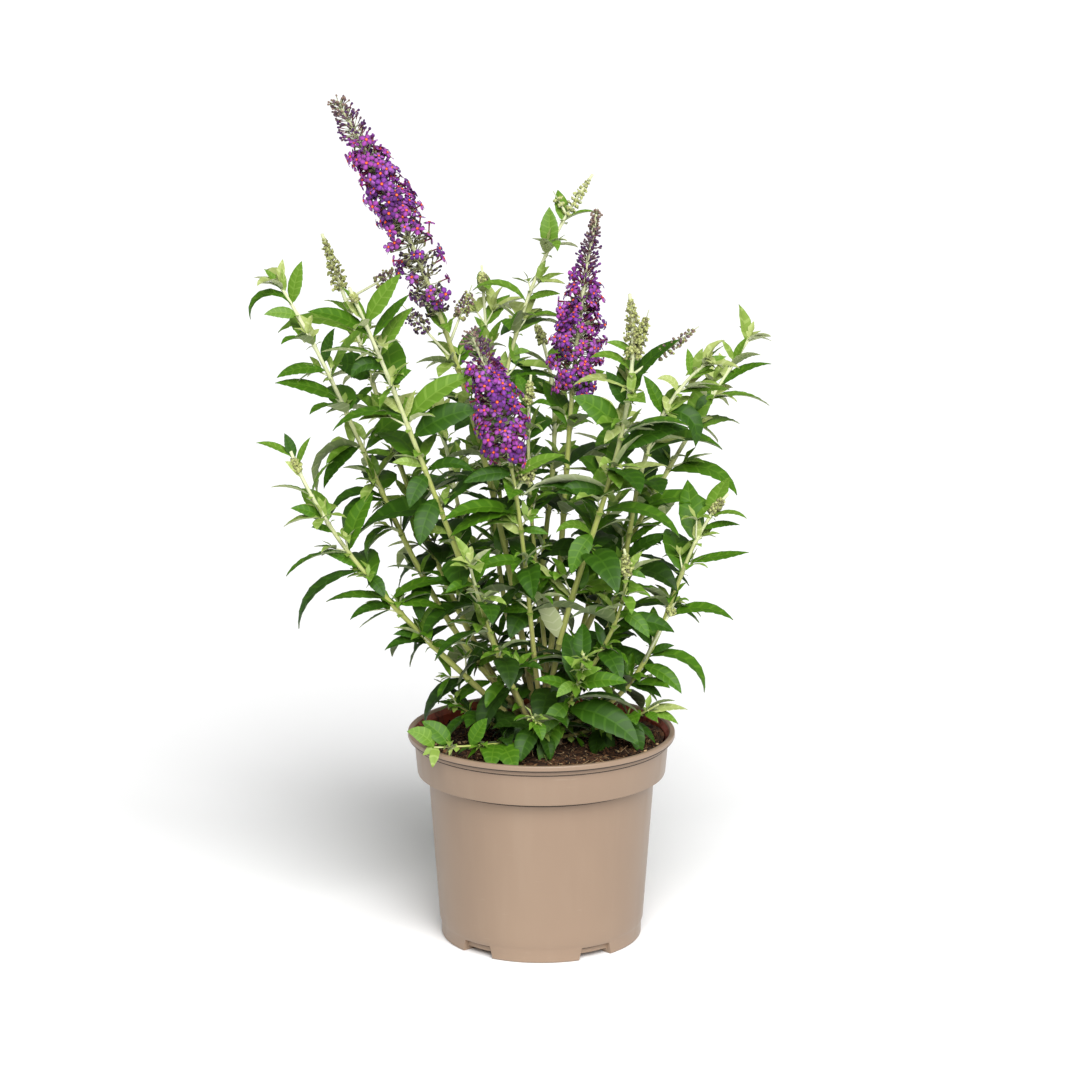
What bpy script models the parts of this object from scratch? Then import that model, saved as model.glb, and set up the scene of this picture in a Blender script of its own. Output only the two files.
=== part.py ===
"""A butterfly bush of about twenty canes, built together with its turned plastic pot.

Metres, +Z up. The origin is the centre of the pot's flat underside, +X is to the right and -Y is the
front. A short woody stump stands in the soil. Each cane leaves it as a bare tapering limb and, 0.3 mm
further on, carries on as a mass of foliage: an upper stem with opposite pairs of leaves, each pair
turned a quarter from the last, small shoots in their axils, and a spike of flowers or buds on top.
"""

import math
from dataclasses import dataclass

import bmesh
import bpy
import numpy as np
from mathutils.bvhtree import BVHTree

MM = 0.001
GAP = 0.3 * MM

# Pot: a tapered wall with a deep collar and a thicker lip, on a foot ring with five notches.
POT_HEIGHT = 150.0 * MM
POT_SIDES = 36
RIM_RADIUS = 95.0 * MM
RIM_INNER_RADIUS = 91.0 * MM
LIP_HEIGHT = 4.6 * MM
COLLAR_TOP_RADIUS = 90.2 * MM
COLLAR_BOTTOM_RADIUS = 88.4 * MM
COLLAR_BOTTOM = 119.5 * MM
WALL_TOP_RADIUS = 80.6 * MM
WALL_BOTTOM_RADIUS = 73.0 * MM
FOOT_TOP = 12.0 * MM
FOOT_RADIUS = 71.6 * MM
WALL = 1.9 * MM
COLLAR_LEDGE = 4.0 * MM
FLOOR_UNDERSIDE = 4.0 * MM
FLOOR_TOP = 7.0 * MM
FOOT_RING_WIDTH = 9.0 * MM
CENTRE_PAD_RADIUS = 14.0 * MM
NOTCHES = 5
NOTCH_FIRST_BEARING = 230.5
NOTCH_ANGLE = 18.5
NOTCH_HEIGHT = 8.8 * MM
NOTCH_REACH = 8.0 * MM

# Soil, gently mounded, and the stump that stands in it.
SOIL_SIDES = 28
SOIL_EDGE = 138.5 * MM
SOIL_TOP = 140.5 * MM
STUMP_HEIGHT = 28.0 * MM
STUMP_FOOT_RADIUS = 14.0 * MM
STUMP_TOP_RADIUS = 11.0 * MM
STUMP_FLARE = 1.5 * MM
STUMP_SIDES = 12
TOP_RING = 6.8 * MM

# Canes and what grows on them.
PATH_STEPS = 48
BOUGH_SIDES = 5
BOUGH_STEP = 20.0 * MM
STEM_SIDES = 4
STEM_STEP = 36.0 * MM
CANE_FOOT_RADIUS = 2.7 * MM
CANE_TIP_RADIUS = 1.1 * MM
LEAF_ASPECT = 0.33
LEAF_WIDEST = 0.42
LEAF_THICKNESS = 0.022
LEAF_FOLD = 0.16
LEAF_ROOT_DEPTH = 0.8
SHOOT_TWIG_RADIUS = 0.75 * MM
NODE_CLEARANCE = 7.0 * MM
LEAST_LEAF = 9.0 * MM
TRIES = 7
FLORET_RING_STEP = 12.0 * MM
FLORETS_PER_RING = 5
FLORET_INSET = 0.62
SHOOT_CHANCE = 0.12

POT_COLOUR = (0.44, 0.33, 0.235)
SOIL_COLOUR = (0.035, 0.022, 0.014)
BARK_COLOUR = (0.26, 0.20, 0.11)
CANE_COLOUR = (0.42, 0.46, 0.20)
LEAF_COLOUR = (0.055, 0.16, 0.022)


@dataclass(frozen=True)
class Cane:
    """One cane. Angles are in degrees and lengths in millimetres.

    It leaves the stump at a bearing (0 right, 90 back) and a rise above the soil; a rise above the
    stump's own height puts it on the stump's top. lean_x is its lean to the right at foot, middle and
    tip, lean_y its lean to the back at foot and tip. Its first bare millimetres carry no leaf, and
    zero makes the whole cane one mass.
    """

    name: str
    bearing: float
    rise: float
    lean_x: tuple
    lean_y: tuple
    length: float
    bare: float
    leaf: float
    gap: float
    turn: float = 0.0
    spike: float = 0.0
    spike_radius: float = 0.0
    in_flower: bool = False
    girth: float = 1.0
    side_spikes: tuple = ()


@dataclass(frozen=True)
class SideSpike:
    """A spike on a side twig: millimetres below the cane's tip, bearing and climb in degrees."""

    below_tip: float
    bearing: float
    climb: float
    twig: float
    spike: float
    radius: float


CANES = (
    Cane("low_left", 196, 10, (-44, -40, -19), (-13, -8), 265, 46, 58, 36, spike=15, spike_radius=3.4),
    Cane("left", 176, 20, (-45, -24, -32), (-3, 6), 347, 74, 60, 38),
    Cane("left_back", 152, 12, (-36, -20, -21), (13, 11), 378, 84, 56, 40, turn=45, spike=43,
         spike_radius=6.5, side_spikes=(SideSpike(52, 25, 25, 26, 26, 6.5),)),
    Cane("left_front", 214, 22, (-23, -19, -22), (-9, -19), 345, 82, 68, 40, spike=11, spike_radius=2.6),
    Cane("tall_left", 150, 40, (-9, -16, -32), (-2, -4), 456, 96, 58, 42, turn=30, spike=166,
         spike_radius=18.0, in_flower=True,
         side_spikes=(SideSpike(205, 185, 48, 30, 26, 7.5), SideSpike(170, 205, 40, 16, 14, 5.0),
                      SideSpike(190, 15, 68, 18, 26, 7.0))),
    Cane("centre_front", 262, 40, (-7, -7, -24), (-20, -1), 290, 70, 54, 34, spike=98,
         spike_radius=19.0, in_flower=True, girth=0.8, side_spikes=(SideSpike(122, 10, 60, 10, 16, 7.0),)),
    Cane("centre_back", 80, 40, (10, 4, 13), (8, 11), 355, 88, 62, 38, turn=20, spike=134,
         spike_radius=20.0, in_flower=True),
    Cane("tall_centre", 108, 20, (-22, 6, 36), (16, 11), 402, 110, 54, 44, turn=60, spike=36,
         spike_radius=5.0, girth=0.85, side_spikes=(SideSpike(36, 170, 60, 8, 12, 4.0),)),
    Cane("right_front", 322, 40, (5, 16, -9), (-14, -9), 316, 78, 64, 36, spike=46, spike_radius=7.5,
         side_spikes=(SideSpike(60, 10, 35, 22, 36, 5.5), SideSpike(52, 30, 70, 10, 30, 6.0))),
    Cane("right", 14, 20, (49, 9, 51), (24, -13), 276, 62, 64, 36, turn=15),
    Cane("upper_right", 40, 24, (21, 30, 34), (21, 18), 298, 70, 64, 40, turn=70),
    Cane("short_right_front", 326, 14, (23, 24, -13), (-18, -17), 154, 34, 48, 27, spike=21,
         spike_radius=4.5, girth=0.8),
    Cane("low_right", 352, 9, (80, 22, 44), (2, 5), 213, 48, 68, 34, turn=25, spike=19,
         spike_radius=4.2, girth=0.9, side_spikes=(SideSpike(138, 330, 62, 46, 10, 3.2),)),
    Cane("back_left", 86, 12, (-18, -7, -4), (28, 16), 338, 88, 58, 40, turn=10, spike=15,
         spike_radius=3.6, girth=0.8),
    Cane("back", 62, 22, (-18, 7, -26), (28, 26), 293, 66, 62, 37, turn=40, spike=20, spike_radius=4.0),
    Cane("centre_right", 20, 40, (-5, -5, 5), (0, 4), 236, 60, 54, 36, turn=50, spike=21,
         spike_radius=4.0, girth=0.8),
    Cane("back_right", 60, 8, (22, 15, 1), (38, 34), 247, 52, 64, 36, turn=30),
    Cane("far_back_left", 128, 10, (-30, -17, -13), (36, 33), 248, 54, 64, 36, turn=0),
    Cane("short_left_front", 240, 14, (-22, -18, -10), (-28, -26), 152, 32, 56, 29, turn=35, girth=0.85),
    Cane("front_shoot", 300, 8, (22, 18, 2), (-44, -36), 100, 0, 52, 21, turn=20, girth=0.7),
    Cane("creeping_shoot", 228, 3, (-55, -81, -88), (-77, -83), 91, 0, 28, 26, turn=80, girth=0.5),
    Cane("low_front_shoot", 268, 4, (4, -10, -22), (-62, -56), 62, 0, 48, 18, turn=40, girth=0.6),
    Cane("low_right_shoot", 338, 3, (70, 66, 48), (-48, -40), 82, 0, 44, 24, turn=10, girth=0.6),
    Cane("low_left_shoot", 202, 2, (-56, -60, -56), (-20, -8), 54, 0, 44, 18, turn=60, girth=0.6),
    Cane("low_back_shoot", 84, 3, (8, 14, 8), (52, 48), 84, 0, 52, 24, turn=30, girth=0.6),
    Cane("low_back_right_shoot", 24, 3, (58, 52, 44), (40, 40), 82, 0, 48, 24, turn=20, girth=0.6),
)

# Leaves held in a set place, by cane: millimetres from its foot, heading (0 right, 90 back), climb,
# length in millimetres, droop and roll. Angles are in degrees.
SET_LEAVES = {
    "left": (
        (157, -144, 39, 45, 105, 8), (180, -157, 35, 53, 105, -8), (182, -168, 40, 49, 101, -12),
        (222, -161, 34, 61, 105, 36), (224, -155, -20, 42, 46, -20), (259, -168, 33, 49, 30, -28),
        (281, -162, 22, 38, 48, -28), (331, -170, 66, 38, 105, -12), (333, 0, 84, 32, 14, 56),
    ),
    "left_back": (
        (268, -130, 41, 43, 34, -80), (300, 180, 44, 63, 76, -12),
    ),
    "left_front": (
        (177, -112, -22, 41, 46, -20), (198, -11, 38, 37, 67, 28), (225, -12, 43, 53, 34, 56),
        (238, 0, 53, 58, 34, 36), (242, -168, 27, 54, 66, -12), (304, 25, 53, 40, 14, 8),
        (306, -162, 42, 48, 34, -32), (316, 0, 62, 42, 14, 52),
    ),
    "centre_front": (
        (116, -168, 16, 37, 46, -28), (152, -162, 28, 57, 54, -20), (155, -168, 6, 53, 46, -12),
        (179, 0, 43, 40, 34, 28), (182, -168, 11, 36, 34, -48),
    ),
    "tall_centre": (
        (208, 0, 68, 41, 14, 28), (297, 180, 57, 45, 81, -12),
    ),
    "right_front": (
        (85, 180, 54, 42, 18, -16), (88, -11, 36, 60, 65, 16), (137, -133, -24, 35, 46, -36),
        (169, -163, 22, 37, 34, -48), (173, -174, 27, 63, 57, 28), (175, 0, 45, 45, 50, 12),
        (200, -6, 39, 53, 34, 40), (214, -160, 56, 46, 34, -72), (246, 180, 41, 42, 66, -16),
        (249, 0, 62, 48, 34, 28), (259, -168, 62, 34, 76, -24),
    ),
    "right": (
        (66, -100, -30, 32, 46, -8), (71, -11, 52, 74, 87, 4), (120, -6, 47, 39, 34, 40),
        (129, 14, 50, 33, 34, 12), (152, -13, 43, 67, 70, 16), (226, -27, 44, 46, 105, 40),
        (228, 180, 71, 32, 14, -52),
    ),
    "upper_right": (
        (185, -11, 30, 61, 83, 20), (257, 0, 47, 44, 41, 16),
    ),
    "low_right": (
        (75, -32, -1, 38, 46, 28), (81, -17, 28, 58, 101, 8), (112, -13, 37, 53, 64, 12),
        (155, 0, 13, 45, 6, 12),
    ),
    "front_shoot": (
        (17, -118, -18, 39, 46, -24), (36, -30, 7, 63, 46, 36), (63, -17, 27, 38, 34, 44),
    ),
    "creeping_shoot": (
        (42, -70, 10, 41, 46, 12), (44, -96, 9, 36, 46, -4),
    ),
    "low_right_shoot": (
        (65, -6, 26, 34, 34, 20),
    ),
}
SET_LEAF_REACH = 10.0 * MM


def clear_scene():
    """Remove whatever objects the file starts with."""
    for old in list(bpy.data.objects):
        bpy.data.objects.remove(old, do_unlink=True)


def material(name, colour, roughness):
    """A plain plastic-like surface of one colour."""
    made = bpy.data.materials.new(name)
    made.use_nodes = True
    shader = made.node_tree.nodes["Principled BSDF"]
    shader.inputs["Base Color"].default_value = (*colour, 1.0)
    shader.inputs["Roughness"].default_value = roughness
    shader.inputs["Metallic"].default_value = 0.0
    return made


def new_object(name, points, faces, surface, smooth=False):
    """One named object from its points and faces, faces turned outwards."""
    mesh = bpy.data.meshes.new(name)
    mesh.from_pydata([tuple(p) for p in points], [], [tuple(f) for f in faces])
    work = bmesh.new()
    work.from_mesh(mesh)
    bmesh.ops.recalc_face_normals(work, faces=work.faces)
    work.to_mesh(mesh)
    work.free()
    mesh.materials.append(surface)
    if smooth:
        mesh.shade_smooth()
        mesh.set_sharp_from_angle(angle=math.radians(35))
    made = bpy.data.objects.new(name, mesh)
    bpy.context.scene.collection.objects.link(made)
    return made


def unit(vector):
    """The vector at length one."""
    return vector / np.linalg.norm(vector)


# --- pot, soil and stump -------------------------------------------------------------------------


def turned(name, profile, sides, surface):
    """A solid of revolution about Z from a closed profile of (radius, height), one ring per corner.

    A corner on the axis becomes a single point, and the ring next to it closes in a fan.
    """
    angles = np.arange(sides) * 2 * math.pi / sides
    rings = []
    points = []
    for radius, height in profile:
        if radius == 0:
            rings.append([len(points)] * sides)
            points.append((0, 0, height))
            continue
        rings.append(list(range(len(points), len(points) + sides)))
        points.extend((radius * math.cos(a), radius * math.sin(a), height) for a in angles)
    faces = []
    for low, high in zip(rings, rings[1:] + rings[:1]):
        for i in range(sides):
            corners = (low[i], low[(i + 1) % sides], high[(i + 1) % sides], high[i])
            face = tuple(dict.fromkeys(corners))
            if len(face) > 2:
                faces.append(face)
    return new_object(name, points, faces, surface, smooth=True)


def wall_radius(height):
    """Outer radius of the tapered wall below the collar."""
    share = (height - FOOT_TOP) / (COLLAR_BOTTOM - FOOT_TOP)
    return WALL_BOTTOM_RADIUS + (WALL_TOP_RADIUS - WALL_BOTTOM_RADIUS) * share


def inner_profile(clearance):
    """The pot's inner face from floor to soil level and above, moved inwards by a clearance."""
    ledge = COLLAR_BOTTOM + COLLAR_LEDGE
    return [
        (wall_radius(FLOOR_TOP) - WALL - clearance, FLOOR_TOP + clearance),
        (wall_radius(COLLAR_BOTTOM) - WALL - clearance, COLLAR_BOTTOM + clearance),
        (COLLAR_BOTTOM_RADIUS - WALL - clearance, ledge + clearance),
        (COLLAR_TOP_RADIUS - WALL - clearance, POT_HEIGHT - LIP_HEIGHT),
    ]


def build_pot(surface):
    """Turn the pot's shell and cut the notches through its foot ring."""
    ring_inner = FOOT_RADIUS - FOOT_RING_WIDTH
    outside = [
        (RIM_INNER_RADIUS, POT_HEIGHT),
        (RIM_RADIUS, POT_HEIGHT),
        (RIM_RADIUS, POT_HEIGHT - LIP_HEIGHT),
        (COLLAR_TOP_RADIUS, POT_HEIGHT - LIP_HEIGHT - 0.6 * MM),
        (COLLAR_BOTTOM_RADIUS, COLLAR_BOTTOM),
        (WALL_TOP_RADIUS, COLLAR_BOTTOM),
        (WALL_BOTTOM_RADIUS, FOOT_TOP),
        (FOOT_RADIUS + 0.4 * MM, FOOT_TOP - 0.8 * MM),
        (FOOT_RADIUS, 0),
    ]
    underside = [
        (ring_inner, 0),
        (ring_inner - 1.0 * MM, FLOOR_UNDERSIDE),
        (CENTRE_PAD_RADIUS + 2.0 * MM, FLOOR_UNDERSIDE),
        (CENTRE_PAD_RADIUS, 0),
        (0, 0),
    ]
    inside = [(0, FLOOR_TOP)] + inner_profile(0)
    pot = turned("pot", outside + underside + inside, POT_SIDES, surface)
    for number in range(NOTCHES):
        cut_notch(pot, NOTCH_FIRST_BEARING + number * 360 / NOTCHES)
    return pot


def cut_notch(pot, bearing):
    """Cut one notch: a wedge that opens outwards under the wall and stops short of the floor plate."""
    middle = math.radians(bearing)
    half = math.radians(NOTCH_ANGLE / 2)
    near = FOOT_RADIUS - FOOT_RING_WIDTH - 6.0 * MM
    far = WALL_BOTTOM_RADIUS + NOTCH_REACH
    height = min(NOTCH_HEIGHT, FOOT_TOP)
    depths = ((near, FLOOR_UNDERSIDE - 0.2 * MM), (FOOT_RADIUS - 3.2 * MM, FLOOR_UNDERSIDE - 0.2 * MM),
              (FOOT_RADIUS - 3.1 * MM, height), (far, height))
    points = []
    for radius, top in depths:
        for angle in (middle - half, middle + half):
            for level in (-2.0 * MM, top):
                points.append((radius * math.cos(angle), radius * math.sin(angle), level))
    faces = [(0, 1, 3, 2), (12, 14, 15, 13)]
    for start in (0, 4, 8):
        faces.extend([
            (start, start + 4, start + 5, start + 1),
            (start + 2, start + 3, start + 7, start + 6),
            (start, start + 2, start + 6, start + 4),
            (start + 1, start + 5, start + 7, start + 3),
        ])
    cutter = new_object("notch_cutter", points, faces, pot.data.materials[0])
    boolean(pot, cutter=cutter)
    bpy.data.objects.remove(cutter, do_unlink=True)


def boolean(target, cutter=None, group=None, solver="EXACT"):
    """Apply a Boolean to the target: cut one object out of it, or join a collection to it."""
    change = target.modifiers.new("join" if group else "cut", "BOOLEAN")
    change.solver = solver
    if group:
        change.operation = "UNION"
        change.operand_type = "COLLECTION"
        change.collection = group
    else:
        change.operation = "DIFFERENCE"
        change.object = cutter
    shape = target.evaluated_get(bpy.context.evaluated_depsgraph_get())
    mesh = bpy.data.meshes.new_from_object(shape)
    target.modifiers.remove(change)
    old = target.data
    target.data = mesh
    bpy.data.meshes.remove(old)


def build_soil(surface):
    """The soil that fills the pot, clear of its inside, flat enough to carry the stump."""
    lower = inner_profile(GAP)[:3]
    edge_radius = COLLAR_BOTTOM_RADIUS + (COLLAR_TOP_RADIUS - COLLAR_BOTTOM_RADIUS) * 0.6 - WALL - GAP
    profile = [(0, FLOOR_TOP + GAP)] + lower + [
        (edge_radius - 0.4 * MM, SOIL_EDGE),
        (STUMP_FOOT_RADIUS * 3.6, SOIL_TOP - 0.6 * MM),
        (STUMP_FOOT_RADIUS * 1.8, SOIL_TOP),
        (0, SOIL_TOP),
    ]
    return turned("soil", profile, SOIL_SIDES, surface)


def stump_radius(rise):
    """The stump's radius at a height above the soil, flared at its foot."""
    share = min(max(rise / STUMP_HEIGHT, 0), 1)
    flare = STUMP_FLARE * (1 - share) ** 4
    return STUMP_FOOT_RADIUS + (STUMP_TOP_RADIUS - STUMP_FOOT_RADIUS) * share + flare


def build_stump(surface):
    """The short woody stem that the canes leave, cut flat just above the soil."""
    levels = [0, 3.0 * MM, 10.0 * MM, STUMP_HEIGHT - 2.5 * MM]
    profile = [(0, SOIL_TOP + GAP)]
    profile.extend((stump_radius(level), SOIL_TOP + GAP + level) for level in levels)
    profile.append((STUMP_TOP_RADIUS - 2.0 * MM, SOIL_TOP + GAP + STUMP_HEIGHT))
    profile.append((0, SOIL_TOP + GAP + STUMP_HEIGHT))
    return turned("stump", profile, STUMP_SIDES, surface)


# --- canes ---------------------------------------------------------------------------------------


def cane_directions(cane):
    """Unit directions along the cane, one for each step of its path."""
    t = (np.arange(PATH_STEPS) + 0.5) / PATH_STEPS
    foot, middle, tip = np.radians(cane.lean_x)
    near, far = np.radians(cane.lean_y)
    lean_x = foot * (1 - t) * (1 - 2 * t) + middle * 4 * t * (1 - t) + tip * t * (2 * t - 1)
    lean_y = near + (far - near) * t
    way = np.stack([np.tan(lean_x), np.tan(lean_y), np.ones(PATH_STEPS)], axis=1)
    return way / np.linalg.norm(way, axis=1, keepdims=True)


def cane_foot(cane, first_way):
    """Where the cane starts: beside the stump, or on its top when its rise is above the stump."""
    bearing = math.radians(cane.bearing)
    out = np.array([math.cos(bearing), math.sin(bearing), 0.0])
    radius = CANE_FOOT_RADIUS * cane.girth
    upright = first_way[2]
    if cane.rise * MM > STUMP_HEIGHT:
        level = SOIL_TOP + GAP + STUMP_HEIGHT + GAP + radius * math.sqrt(1 - upright ** 2)
        return out * TOP_RING + np.array([0, 0, level])
    rise = cane.rise * MM
    away = stump_radius(rise) + GAP * 1.5 + radius * upright
    lift = radius * math.sqrt(1 - upright ** 2) + GAP
    return out * away + np.array([0, 0, SOIL_TOP + rise + lift])


class Course:
    """The course of a cane through space, read by distance from its foot in metres."""

    def __init__(self, cane):
        ways = cane_directions(cane)
        self.cane = cane
        self.length = cane.length * MM
        self.marks = np.linspace(0, self.length, PATH_STEPS + 1)
        moves = ways * (self.length / PATH_STEPS)
        start = cane_foot(cane, ways[0])
        self.points = start + np.concatenate([np.zeros((1, 3)), np.cumsum(moves, axis=0)])
        self.centres = (self.marks[1:] + self.marks[:-1]) / 2
        self.ways = ways

    def point(self, distance):
        """The point at a distance along the cane."""
        return np.array([np.interp(distance, self.marks, self.points[:, k]) for k in range(3)])

    def way(self, distance):
        """The unit direction at a distance along the cane."""
        return unit(np.array([np.interp(distance, self.centres, self.ways[:, k]) for k in range(3)]))

    def radius(self, distance):
        """The cane's radius at a distance, tapering evenly to its tip."""
        share = distance / self.length
        return self.cane.girth * (CANE_FOOT_RADIUS + (CANE_TIP_RADIUS - CANE_FOOT_RADIUS) * share)

    def sideways(self, distance, turn):
        """The unit direction square to the cane at a turn about it: 0 right, 90 back."""
        way = self.way(distance)
        back = unit(np.array([0, 1.0, 0]) - way[1] * way)
        right = np.cross(back, way)
        angle = math.radians(turn)
        return right * math.cos(angle) + back * math.sin(angle)


def tube(centres, ways, radii, sides):
    """Points and faces of a closed tube through given centres, square to the given directions."""
    points = []
    for centre, way, radius in zip(centres, ways, radii):
        back = unit(np.array([0, 1.0, 0]) - way[1] * way) if abs(way[1]) < 0.95 else np.array([1.0, 0, 0])
        right = unit(np.cross(back, way))
        back = np.cross(way, right)
        for i in range(sides):
            angle = 2 * math.pi * i / sides
            points.append(centre + radius * (right * math.cos(angle) + back * math.sin(angle)))
    return points, ring_faces(sides, len(centres))


def ring_faces(sides, rings):
    """Faces of a closed tube whose points are laid out ring by ring."""
    faces = [tuple(range(sides))[::-1]]
    for ring in range(rings - 1):
        low = ring * sides
        for i in range(sides):
            j = (i + 1) % sides
            faces.append((low + i, low + j, low + sides + j, low + sides + i))
    faces.append(tuple(range((rings - 1) * sides, rings * sides)))
    return faces


def cane_tube(course, start, end, sides, step):
    """A tube along part of a cane."""
    count = max(2, round((end - start) / step) + 1)
    marks = np.linspace(start, end, count)
    centres = [course.point(d) for d in marks]
    ways = [course.way(d) for d in marks]
    radii = [course.radius(d) for d in marks]
    return tube(centres, ways, radii, sides)


# --- leaves, shoots and spikes -------------------------------------------------------------------


def leaf_solid(root, way, length, droop, roll, girth, grow=0.0):
    """A leaf of eight faces: a point sunk in its stem, its widest section, and its tip.

    The blade leaves along way and bends down by droop degrees in all. roll tips it about its length,
    girth is the radius of the stem that its root is sunk in, and grow swells the blade on all sides,
    to test what it would come near.
    """
    heading = math.atan2(way[1], way[0])
    climb = math.degrees(math.asin(max(-1.0, min(1.0, way[2]))))
    across = np.array([-math.sin(heading), math.cos(heading), 0.0])

    def along(angle):
        rise = math.radians(max(angle, -88))
        return np.array([math.cos(rise) * math.cos(heading), math.cos(rise) * math.sin(heading), math.sin(rise)])

    first = along(climb - 0.22 * droop)
    second = along(climb - 0.85 * droop)
    middle = root + first * length * LEAF_WIDEST
    tip = middle + second * (length * (1 - LEAF_WIDEST) + grow)
    tilt = math.radians(roll)
    up = np.cross(first, across)
    across = across * math.cos(tilt) + up * math.sin(tilt)
    up = np.cross(first, across)
    half = length * LEAF_ASPECT / 2 + grow
    fold = up * half * LEAF_FOLD
    deep = up * (length * LEAF_THICKNESS / 2 + grow)
    points = [
        root - way * girth * LEAF_ROOT_DEPTH,
        middle + across * half + fold,
        middle - across * half + fold,
        middle + deep,
        middle - deep,
        tip,
    ]
    faces = [(0, 3, 1), (0, 2, 3), (0, 1, 4), (0, 4, 2), (5, 1, 3), (5, 3, 2), (5, 4, 1), (5, 2, 4)]
    return points, faces


def bent(way, turn, lift):
    """The direction turned about Z and lifted, both in degrees."""
    heading = math.atan2(way[1], way[0]) + math.radians(turn)
    climb = math.asin(max(-1.0, min(1.0, way[2]))) + math.radians(lift)
    climb = max(-1.3, min(1.5, climb))
    return np.array([math.cos(climb) * math.cos(heading), math.cos(climb) * math.sin(heading), math.sin(climb)])


def is_clear(trees, solid):
    """Whether a solid crosses nothing in any of the search trees."""
    shape = tree_of([solid])
    return not any(tree.overlap(shape) for tree in trees)


def pair_marks(cane):
    """Distances of the leaf pairs from the cane's foot, closer together towards the tip."""
    marks = []
    at = cane.bare * MM + NODE_CLEARANCE
    end = cane.length * MM - cane.spike * MM - 1.5 * MM
    start = at
    while at < end:
        marks.append(at)
        share = (at - start) / max(end - start, 1e-6)
        at += cane.gap * MM * (1.0 - 0.45 * share)
    return marks


def leaf_size(cane, share):
    """Length of a leaf at a share of the way up the leafy part: longest in the middle."""
    return cane.leaf * MM * (0.84 + 0.66 * share - 1.0 * share ** 2)


def set_leaves(course, neighbours, number):
    """The solids of the leaves that are held in a set place on a cane."""
    solids = []
    for index, (mark, heading, climb, length, droop, roll) in enumerate(SET_LEAVES.get(course.cane.name, ())):
        dice = np.random.default_rng((number, 4, index))
        rise = math.radians(climb)
        bearing = math.radians(heading)
        way = np.array([math.cos(rise) * math.cos(bearing), math.cos(rise) * math.sin(bearing), math.sin(rise)])
        root = course.point(mark * MM) - way * 0.4 * MM
        girth = course.radius(mark * MM)
        leaf = clear_leaf([neighbours], root, way, length * MM, droop, roll, girth, dice)
        if leaf:
            solids.append(leaf)
    return solids


def place_is_taken(cane, mark, out):
    """Whether a set leaf grows beside this place on a cane, on about the same side."""
    for at, heading, *_ in SET_LEAVES.get(cane.name, ()):
        side = math.cos(math.radians(heading)) * out[0] + math.sin(math.radians(heading)) * out[1]
        if abs(at * MM - mark) < SET_LEAF_REACH and side > 0.3:
            return True
    return False


def leaves_of(course, neighbours, number):
    """The solids of one cane's leaves and axil shoots, each kept only where it is clear."""
    cane = course.cane
    marks = pair_marks(cane)
    solids = []
    for index, mark in enumerate(marks):
        share = index / max(len(marks) - 1, 1)
        trees = [neighbours, tree_of(solids)] if solids else [neighbours]
        for side in (0, 1):
            dice = np.random.default_rng((number, index, side))
            turn = cane.turn + 90 * index + 180 * side + dice.uniform(-16, 16)
            out = course.sideways(mark, turn)
            spread = math.radians(62 - 30 * share + dice.uniform(-8, 8))
            way = unit(course.way(mark) * math.cos(spread) + out * math.sin(spread))
            root = course.point(mark) - way * 0.4 * MM
            length = leaf_size(cane, share) * dice.uniform(0.88, 1.12)
            droop = 78 - 58 * share + dice.uniform(-14, 14)
            roll = dice.uniform(-24, 24)
            if not place_is_taken(cane, mark, out):
                leaf = clear_leaf(trees, root, way, length, droop, roll, course.radius(mark), dice)
                if leaf:
                    solids.append(leaf)
            if cane.bare and share < 0.92:
                solids.extend(axil_shoot(course, trees, mark, out, dice))
    return set_leaves(course, neighbours, number) + solids


def clear_leaf(trees, root, way, length, droop, roll, girth, dice):
    """A leaf turned, lifted or shortened until it is clear of its neighbours, or None."""
    for attempt in range(TRIES):
        size = length * (1 - 0.07 * attempt)
        if size < LEAST_LEAF:
            return None
        turn, lift = dice.uniform(-9, 9, 2) * attempt
        aim = bent(way, turn, lift)
        if is_clear(trees, leaf_solid(root, aim, size, droop, roll, girth, GAP * 1.3)):
            return leaf_solid(root, aim, size, droop, roll, girth)
    return None


def axil_shoot(course, trees, mark, out, dice):
    """A short shoot in a leaf's axil: a three-sided twig with a pair of small leaves at its tip."""
    if dice.random() > SHOOT_CHANCE:
        return []
    way = unit(course.way(mark) * 0.8 + out * 0.75)
    root = course.point(mark + 2.0 * MM)
    twig = (7 + 9 * dice.random()) * MM
    leaf = (15 + 13 * dice.random()) * MM
    ends = [root, root + way * twig]
    solid = tube(ends, [way, way], [SHOOT_TWIG_RADIUS, SHOOT_TWIG_RADIUS * 0.8], 3)
    swollen = tube(ends, [way, way], [SHOOT_TWIG_RADIUS + GAP * 1.3] * 2, 3)
    if not is_clear(trees, swollen):
        return []
    solids = [solid]
    for turn in (-52, 52):
        aim = bent(way, turn, -12)
        small = clear_leaf(trees, ends[1] - way * 1.5 * MM, aim, leaf, 30, 0, SHOOT_TWIG_RADIUS, dice)
        if small:
            solids.append(small)
    return solids


def spike_outline(share):
    """How full a spike is at a share of its length, as a part of its greatest radius."""
    return min(1.0, 0.62 + 2.2 * share) * (1 - share ** 1.7) ** 0.8 + 0.04


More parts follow.
